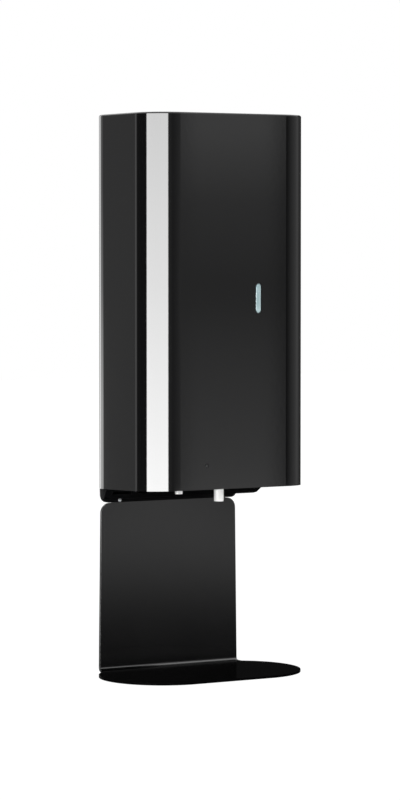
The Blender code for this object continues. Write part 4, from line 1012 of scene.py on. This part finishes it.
# Pins, rods, axles and pillars: bars with small chamfers, thinner at their ends where they are riveted
barEase = 0.0003
bars = {
    "hingePins": {"nodes": ("hinge_pin_left", "hinge_pin_right"), "slot": "steel",
                  "lean": (0, math.pi / 2, 0),
                  "places": ((-0.0523, -0.0065, 0.1645), (0.0417, -0.0065, 0.1645)),
                  "outline": ((0, 0), (0.0015, 0), (0.0015, 0.0106), (0, 0.0106))},
    "guideRods": {"nodes": ("guide_rod_left", "guide_rod_right"), "slot": "steel", "lean": (0, 0, 0),
                  "places": ((-0.022, -0.0764, -0.1502), (0.022, -0.0764, -0.1502)),
                  "outline": ((0, 0), (0.0015, 0), (0.0015, 0.1039), (0, 0.1039))},
    "gearAxles": {"nodes": ("output_axle", "idler_axle"), "slot": "steel", "lean": toFront,
                  "places": ((0.018, 0, -0.109), (0.0360, 0, -0.0964)),
                  "outline": ((0, 0.0510), (0.0015, 0.0510), (0.0015, 0.0722), (0, 0.0722))},
    "gearPillars": {"nodes": tuple(f"gear_pillar_{n}" for n in range(1, 5)), "slot": "zinc_plate",
                    "lean": toFront,
                    "places": [(x, 0, z) for x in (0.0170, 0.0602) for z in (-0.0690, -0.1290)],
                    "outline": ((0, 0.0513), (0.00125, 0.0513), (0.00125, 0.0533), (0.0025, 0.0533),
                                (0.0025, 0.0699), (0.00125, 0.0699), (0.00125, 0.0722), (0, 0.0722))},
}


def makeBars(name, b):
    spots = [(place, b["lean"]) for place in b["places"]]
    piece = turnPieces(name, easedOutline(b["outline"], barEase, 2), spots, finishes[b["slot"]], 32)
    handOver(piece, "base", b["nodes"])


for name, bar in bars.items():
    makeBars(name, bar)
print("bars made:", len(bars))


# Latch behind the key hole: dark knob, shaft and clip, with the nose that drops behind the cover's strike
lockLatch = {
    "middle": (-0.0276, -0.1362),
    "front": -0.1112,
    "pad": (0.0030, 0.0020),
    "shaft": 0.0020,
    "clip": (-0.0997, 0.0020),
    "noseLow": -0.1465,
    "dimple": (0.0010, 0.0013, 0.0004),
    "ease": 0.0003,
}


def makeLatch(latch):
    x, z = latch["middle"]
    front = -latch["front"]
    radius, thick = latch["pad"]
    shaft = latch["shaft"]
    clipBack, clipThick = latch["clip"]
    dimple, dimpleRim, dimpleDepth = latch["dimple"]
    ease = latch["ease"]
    outline = [(0, front - dimpleDepth), (dimple, front - dimpleDepth), (dimpleRim, front), (radius, front),
               (radius, front - thick), (shaft, front - thick), (shaft, -clipBack), (radius, -clipBack),
               (radius, -clipBack - clipThick), (0, -clipBack - clipThick)]
    knob = turnPieces("lockLatch", easedOutline(outline, ease), [((x, 0, z), toFront)],
                      finishes["dark_plastic"], 40)
    workshop.objects.link(knob)
    cutWith(knob, boxTool("nose", (x - shaft, latch["front"] + ease, latch["noseLow"]),
                          (x + shaft, latch["front"] + thick - ease, z)), "UNION")
    knob = settle(knob)
    smoothFaces(knob.data, 34)
    handOver(knob, "latch", ("lock_latch",), finishes["dark_plastic"])


makeLatch(lockLatch)
print("latch made")


# Cells: metal cans in a printed wrap, with a crimp under the positive end
cell = {
    "radius": 0.0071,
    "length": 0.0492,
    "nub": (0.0026, 0.0012),
    "edge": 0.0006,
    "wrap": 0.00012,
    "crimp": 0.0003,
    "crimpPlace": (0.0030, 0.0026, 0.0022, 0.0018),
    "wrapStart": (0.0020, 0.0022),
    "dish": (0.55, 0.60, 0.0003),
    "nubFoot": (0.0012, 0.0004),
    "ease": 0.00025,
    "places": ((-0.0552, -0.0140, 1), (-0.0552, -0.0286, -1), (-0.0406, -0.0140, -1),
               (-0.0406, -0.0286, 1)),
    "low": -0.1204,
    "high": -0.0700,
    "bareEnd": 0.0022,
    "band": (0.0060, 0.0125),
}


def cellWrap(cell):
    finish = Finish("wrappedCell", {"IOR": 1.5, "Coat Roughness": 0.1})
    start = finish.start
    height = finish.axis(2)
    inside = (height - cell["low"]).atMost(cell["high"] - height)
    metal = inside < cell["bareEnd"]
    mottle = start.noise(finish.place, 300.0, 2.0)
    band = (inside > cell["band"][0]) * (inside < cell["band"][1])
    plain = start.mix(mottle, (0.030, 0.034, 0.042, 1), (0.040, 0.045, 0.056, 1))
    banded = start.mix(band, plain, (0.50, 0.33, 0.11, 1))
    finish.feed("Metallic", metal + band * 0.6)
    finish.feed("Coat Weight", 0.5 - metal * 0.5)
    colour = start.mix(metal, banded, (0.60, 0.61, 0.62, 1))
    return finish.dress(colour, 0.28 + mottle * 0.10, mottle, 0.08, 0.00003)


def makeCells(cell):
    radius, edge = cell["radius"], cell["edge"]
    nubRadius, nubHeight = cell["nub"]
    top = cell["length"]
    can = radius - cell["wrap"]
    crimp = radius - cell["crimp"]
    bare, wrapped = cell["wrapStart"]
    crimped = [top - down for down in cell["crimpPlace"]]
    inner, outer, dish = cell["dish"]
    footOut, footIn = cell["nubFoot"]
    outline = [(0, dish), (radius * inner, dish), (radius * outer, 0), (radius - edge, 0), (can, edge),
               (can, bare), (radius, wrapped), *zip((radius, crimp, crimp, can), crimped),
               (can, top - edge), (radius - edge, top), (nubRadius + footOut, top),
               (nubRadius + footIn, top - dish), (nubRadius, top), (nubRadius, top + nubHeight),
               (0, top + nubHeight)]
    spots = [((x, y, cell["low"]), (0, 0, 0)) if way > 0 else ((x, y, cell["high"]), (math.pi, 0, 0))
             for x, y, way in cell["places"]]
    cells = turnPieces("batteryCells", easedOutline(outline, cell["ease"]), spots, cellWrap(cell))
    handOver(cells, bodyOf["battery_1"], tuple(f"battery_{n}" for n in range(1, 5)))


makeCells(cell)
print("turned pieces made")


# The other pieces keep their CAD shape; a merged copy gets soft edges where it helps the light
softened = {
    "wall_base": 0.00035,
    "support_shelf": 0.0003,
    "refill_bottle": 0.0006,
    "underside_pan": 0.0003,
    "sensor_lens": 0.00025,
    "rack_carriage": 0.00025,
    "drive_motor": 0.0002,
    "gear_plate_rear": 0.0002,
    "gear_plate_front": 0.0002,
    "output_gear": 0.00008,
    "idler_gear": 0.00008,
    "control_board": 0.0001,
    "battery_box": 0.0002,
    "battery_door": 0.0002,
}


def softCopy(node, width):
    bm = merged(nodes[node].data, math.radians(0.5))
    name = "".join(part.capitalize() if i else part for i, part in enumerate(node.split("_"))) + "Soft"
    copy = linkTo(workshop, name, takeMesh(bm, name))
    smoothFaces(copy.data)
    softenEdges(copy, width, 2)
    copy = settle(copy)
    handOver(copy, bodyOf[node], (node,), finishes[slotOf[node]])


for node, width in softened.items():
    softCopy(node, width)
print("soft copies made:", len(softened))


# Return spring: a wound coil with closed end turns, as long as the CAD spring
returnSpring = {
    "wire": 0.00045,
    "turns": 7,
    "turnSteps": 28,
    "endRise": 0.00098,
    "joint": "carriage_lift",
    "stroke": 0.010,
}


def makeReturnSpring(s):
    lowest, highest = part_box("return_spring")
    wire = s["wire"]
    middle = [(lowest[axis] + highest[axis]) / 2 for axis in (0, 1)]
    radius = (highest[0] - lowest[0]) / 2 - wire
    low, high = lowest[2] + wire, highest[2] - wire
    pitch = (high - low - 2 * s["endRise"]) / (s["turns"] - 2)
    curve = bpy.data.curves.new("returnSpring", "CURVE")
    curve.dimensions = "3D"
    curve.bevel_depth = wire
    curve.bevel_resolution = 3
    curve.use_fill_caps = True
    spline = curve.splines.new("POLY")
    spline.points.add(s["turns"] * s["turnSteps"])
    for step, point in enumerate(spline.points):
        turn = step / s["turnSteps"]
        rise = min(turn, 1) * s["endRise"] + max(turn - s["turns"] + 1, 0) * s["endRise"]
        rise += min(max(turn - 1, 0), s["turns"] - 2) * pitch
        angle = math.tau * turn
        point.co = (middle[0] + radius * math.cos(angle), middle[1] + radius * math.sin(angle),
                    low + rise, 1)
    coil = settle(linkTo(workshop, "returnSpring", curve))
    smoothFaces(coil.data, 40)
    handOver(coil, bodyOf["return_spring"], ("return_spring",), finishes["steel"])
    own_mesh(coil)


makeReturnSpring(returnSpring)
print("spring wound")


# Circuit board: surface parts spread over the free places of the board
boardParts = {
    "middle": (-0.0070, -0.0970),
    "size": (0.0290, 0.0560),
    "across": 9,
    "up": 17,
    "face": -0.0134,
    "share": 0.50,
    "seed": 11,
    "part": (0.0018, 0.0007, 0.0010),
    "keepOut": ((-0.0070, -0.0920, 0.0056, 0.0056), (-0.0150, -0.1090, 0.0042, 0.0042),
                (0.0010, -0.1090, 0.0042, 0.0042), (0.0056, -0.0810, 0.0036, 0.0062),
                (-0.0070, -0.0720, 0.0040, 0.0040), (-0.0070, -0.1220, 0.0040, 0.0040)),
}


def boardFinish():
    finish = Finish("chipParts", {"IOR": 1.5})
    start = finish.start
    end = start.node("ShaderNodeAttribute", {"attribute_name": "alongPart"}, None, "Fac")
    solder = end > 0.52
    kind = start.node("ShaderNodeAttribute", {"attribute_name": "partKind"}, None, "Fac")
    body = start.mix(kind > 0.5, (0.012, 0.012, 0.013, 1), (0.34, 0.22, 0.12, 1))
    speck = start.noise(finish.place, 2400.0, 1.0)
    finish.feed("Metallic", solder * 0.9)
    colour = start.mix(solder, body, (0.62, 0.62, 0.63, 1))
    return finish.dress(colour, 0.30 + speck * 0.20, speck, 0.10, 0.00003)


def boardTree(b):
    start, (_, across, up, seed, share, size, material) = openTree("boardPartSpread", (
        ("Board", "Geometry"), ("Across", "Int"), ("Up", "Int"), ("Seed", "Int"), ("Share", "Float"),
        ("Part size", "Vector"), ("Finish", "Material")))
    width, height = b["size"]
    middleX, middleZ = b["middle"]
    sheet = start.node("GeometryNodeMeshGrid", None,
                       {"Size X": width, "Size Y": height, "Vertices X": across, "Vertices Y": up})
    spot = start.node("GeometryNodeInputPosition")
    x = spot.part(0) + middleX
    z = spot.part(1) + middleZ
    free = start.node("FunctionNodeRandomValue", {"data_type": "FLOAT"}, {"Seed": seed}, 1) < share
    for keepX, keepZ, halfX, halfZ in b["keepOut"]:
        free = free * (abs(x - keepX) > halfX).atLeast(abs(z - keepZ) > halfZ)
    onFace = start.vector(x, b["face"] - b["part"][1] / 2, z)
    stood = start.node("GeometryNodeSetPosition", None, {"Geometry": sheet, "Position": onFace})
    part = start.node("GeometryNodeMeshCube", None, {"Size": size})
    along = abs(spot.part(0)) / (b["part"][0] / 2)
    ends = start.node("GeometryNodeSubdivideMesh", None, {"Mesh": part, "Level": 2})
    marked = start.node("GeometryNodeStoreNamedAttribute", {"data_type": "FLOAT", "domain": "POINT"},
                        {"Geometry": ends, "Name": "alongPart", "Value": along})
    turned = start.node("FunctionNodeRandomValue", {"data_type": "FLOAT"}, {"Seed": seed + 3}, 1) > 0.5
    tip = start.vector(0.0, turned * (math.pi / 2))
    lean = start.node("FunctionNodeEulerToRotation", None, {0: tip})
    spread = start.node("GeometryNodeInstanceOnPoints", None,
                        {"Points": stood, "Selection": free, "Instance": marked, "Rotation": lean})
    kind = start.node("FunctionNodeRandomValue", {"data_type": "FLOAT"}, {"Seed": seed + 7}, 1)
    typed = start.node("GeometryNodeStoreNamedAttribute", {"data_type": "FLOAT", "domain": "INSTANCE"},
                       {"Geometry": spread, "Name": "partKind", "Value": kind})
    return closeTree(start, typed, material)


def makeBoardParts(b):
    holder = linkTo(workshop, "boardParts", bpy.data.meshes.new("boardParts"))
    growTree(holder, boardTree(b), {"Across": b["across"], "Up": b["up"], "Seed": b["seed"],
                                    "Share": b["share"], "Part size": b["part"], "Finish": boardFinish()})
    handOver(settle(holder), "base", ())


makeBoardParts(boardParts)
print("board parts spread")


# Nodes that stay as they are get their finish
for node, thing in nodes.items():
    if not thing.hide_render:
        thing.data.materials.clear()
        thing.data.materials.append(finishes[slotOf[node]])
print("carried-over pieces dressed")


# Studio: pale floor, white surroundings for camera and gloss, two soft lamps for the matt parts, and a
# round tent with two cloths that only gloss sees
studio = {
    "floorHeight": -0.62,
    "floorSize": 12.0,
    "floorGlow": 1.19,
    "floorMix": 0.80,
    "ambient": 0.32,
    "lampReach": 2.2,
    "lampSize": (1.5, 1.0),
    "aim": (0, 0, -0.05),
}
lamps = {
    "softBox": {"turn": 56.0, "height": 0.25, "power": 34.0},
    "fillCard": {"turn": -45.0, "height": 0.0, "power": 24.0},
}
tent = {
    "centre": (0.0, -0.055),
    "radius": 2.2,
    "steps": 96,
    "low": -0.95,
    "high": 1.10,
    "clothOver": 0.02,
    "clothLift": 0.01,
    "ceilingGlow": 1.6,
    "boxGlow": 24.5,
    "rimGlow": 1.9,
}
# glow by the turn in degrees, 0 in front and more to the left
byTurn = {
    "around": ((-180, 2.6), (-172, 1.0), (-165, 0.04), (-120, 0.04), (-100, 0.20), (-90, 0.50), (-70, 0.43),
               (-59, 0.38), (-49, 0.26), (-41, 0.15), (-34, 0.07), (-33, 0.2), (-28, 0.42), (-15, 0.30),
               (0, 0.20), (15, 0.36), (90, 0.08), (133, 0.08), (139, 0.85), (143, 0.85), (146, 0.31),
               (149.6, 0.31), (158, 0.60), (170, 0.75), (177, 2.6), (180, 2.6)),
    "panel": ((-33.3, 0.0), (-32.6, 1.0), (-29.5, 1.0), (-28.9, 0.1), (-28.5, 0.0)),
    "spread": ((-75, 0.0), (-60, 1.0), (-12, 1.0), (0, 0.0)),
    "box": ((15.5, 0.0), (17, 1.0), (89, 1.0), (91, 0.0)),
    "rim": ((149.25, 0.0), (150.5, 0.9), (153, 1.2), (160, 1.0), (168, 0.5), (180, 0.3)),
}
# glow by the height in metres
byHeight = {
    "down": ((-0.62, 0.0), (-0.55, 0.0), (-0.52, 0.06), (-0.48, 0.56), (-0.44, 1.05), (-0.40, 1.15),
             (-0.35, 1.02), (-0.28, 0.80), (-0.11, 0.54), (-0.03, 0.40), (0.0, 0.38), (0.125, 0.54),
             (0.23, 0.96), (0.40, 1.1)),
    "upper": ((-0.36, 0.0), (-0.31, 1.0)),
    "boxTall": ((-0.62, 0.0), (-0.55, 1.0), (0.75, 1.0), (0.85, 0.0)),
    "boxFall": ((-0.40, 1.0), (0.0, 0.74), (0.30, 0.60)),
    "rimFall": ((-0.36, 0.0), (-0.32, 1.0), (-0.20, 1.0), (0.0, 0.25), (0.15, 0.0)),
}


def seenAsWhite(start):
    rays = start.node("ShaderNodeLightPath").socket.node.outputs
    camera, glossy, through = [Signal(start.tree, rays[f"Is {kind} Ray"])
                               for kind in ("Camera", "Glossy", "Transmission")]
    return (camera + glossy + through).atMost(1.0)


def makeWorld(studio):
    world = bpy.data.worlds.new("studioWorld")
    world.use_nodes = True
    tree = world.node_tree
    tree.nodes.clear()
    start = Signal(tree)
    level = studio["ambient"] + seenAsWhite(start) * (1.0 - studio["ambient"])
    glow = start.node("ShaderNodeBackground", None, {"Color": (1, 1, 1, 1), "Strength": level})
    output = tree.nodes.new("ShaderNodeOutputWorld")
    tree.links.new(glow.socket, output.inputs["Surface"])
    scene.world = world


def makeFloor(studio):
    bm = bmesh.new()
    bmesh.ops.create_grid(bm, x_segments=1, y_segments=1, size=studio["floorSize"],
                          matrix=Matrix.Translation((0, 0, studio["floorHeight"])))
    floor = linkTo(scene.collection, "studioFloor", takeMesh(bm, "studioFloor"))
    finish = Finish("paleFloor", {"Roughness": 0.9})
    start = finish.start
    speckle = start.noise(finish.place, 60.0, 2.0)
    finish.feed("Base Color", start.mix(speckle, (0.86, 0.86, 0.86, 1), (0.90, 0.90, 0.90, 1)))
    glow = start.node("ShaderNodeEmission", None, {"Color": (1, 1, 1, 1), "Strength": studio["floorGlow"]})
    shader = Signal(finish.tree, finish.shader.outputs[0])
    finish.surface(start.node("ShaderNodeMixShader", None,
                              {0: seenAsWhite(start) * studio["floorMix"], 1: shader, 2: glow}))
    floor.data.materials.append(finish.material)


def tentGlow(tent):
    finish = Finish("tentWall", {})
    start = finish.start
    low, tall = tent["low"], tent["high"] - tent["low"]
    x = finish.axis(0) - tent["centre"][0]
    y = finish.axis(1) - tent["centre"][1]
    turn = start.math("ARCTAN2", 0.0 - x, 0.0 - y) / math.tau + 0.5
    height = (finish.axis(2) - low) / tall
    glows = {key: turn.ramp([(0.5 + degrees / 360, value) for degrees, value in stops])
             for key, stops in byTurn.items()}
    glows.update({key: height.ramp([((z - low) / tall, value) for z, value in stops])
                  for key, stops in byHeight.items()})
    front = glows["spread"] + (glows["panel"] - glows["spread"]) * glows["upper"]
    wall = glows["around"] * (1.0 - front) + front * glows["down"]
    box = glows["box"] * glows["boxTall"] * glows["boxFall"] * tent["boxGlow"]
    rim = glows["rim"] * glows["rimFall"] * tent["rimGlow"]
    finish.surface(start.node("ShaderNodeEmission", None,
                              {"Color": (1, 1, 1, 1), "Strength": wall + box + rim}))
    return finish.material


def glossOnly(thing):
    # seen in reflections only, without a shadow or a light of its own
    thing.visible_camera = False
    thing.visible_diffuse = False
    thing.visible_shadow = False
    thing.visible_transmission = False
    thing.visible_volume_scatter = False


def makeTent(tent):
    bm = bmesh.new()
    path = circlePath(*tent["centre"], tent["radius"], tent["steps"])
    lower, upper = [[bm.verts.new((x, y, z)) for x, y in path] for z in (tent["low"], tent["high"])]
    for i in range(tent["steps"]):
        j = (i + 1) % tent["steps"]
        bm.faces.new((lower[i], upper[i], upper[j], lower[j]))
    wall = linkTo(scene.collection, "tentWall", takeMesh(bm, "tentWall"))
    wall.data.materials.append(tentGlow(tent))
    glossOnly(wall)


def makeCloth(tent, name, height, glow):
    bm = bmesh.new()
    bmesh.ops.create_circle(bm, cap_ends=True, segments=tent["steps"],
                            radius=tent["radius"] + tent["clothOver"],
                            matrix=Matrix.Translation((*tent["centre"], height)))
    cloth = linkTo(scene.collection, name, takeMesh(bm, name))
    finish = Finish(name, {"Roughness": 0.9, "Emission Color": (1, 1, 1, 1), "Emission Strength": glow})
    weave = finish.start.noise(finish.place, 300.0, 2.0)
    finish.feed("Base Color", finish.start.mix(weave, (0.004, 0.004, 0.004, 1), (0.009, 0.009, 0.009, 1)))
    cloth.data.materials.append(finish.material)
    glossOnly(cloth)


def makeLamp(studio, name, turn, height, power):
    light = bpy.data.lights.new(name, "AREA")
    light.shape = "RECTANGLE"
    light.size, light.size_y = studio["lampSize"]
    light.energy = power
    lamp = linkTo(scene.collection, name, light)
    angle = math.radians(turn)
    reach = studio["lampReach"]
    place = Vector((-reach * math.sin(angle), -reach * math.cos(angle), height))
    lamp.location = place
    lamp.rotation_euler = (Vector(studio["aim"]) - place).to_track_quat("-Z", "Y").to_euler()
    lamp.visible_glossy = False


makeWorld(studio)
makeFloor(studio)
makeTent(tent)
makeCloth(tent, "floorCloth", studio["floorHeight"] + tent["clothLift"], 0.0)
makeCloth(tent, "ceilingCloth", tent["high"], tent["ceilingGlow"])
for name, lamp in lamps.items():
    makeLamp(studio, name, **lamp)
scene.view_settings.view_transform = "Standard"
print("studio made")

for tool in list(workshop.objects):
    bpy.data.objects.remove(tool)
bpy.data.collections.remove(workshop)
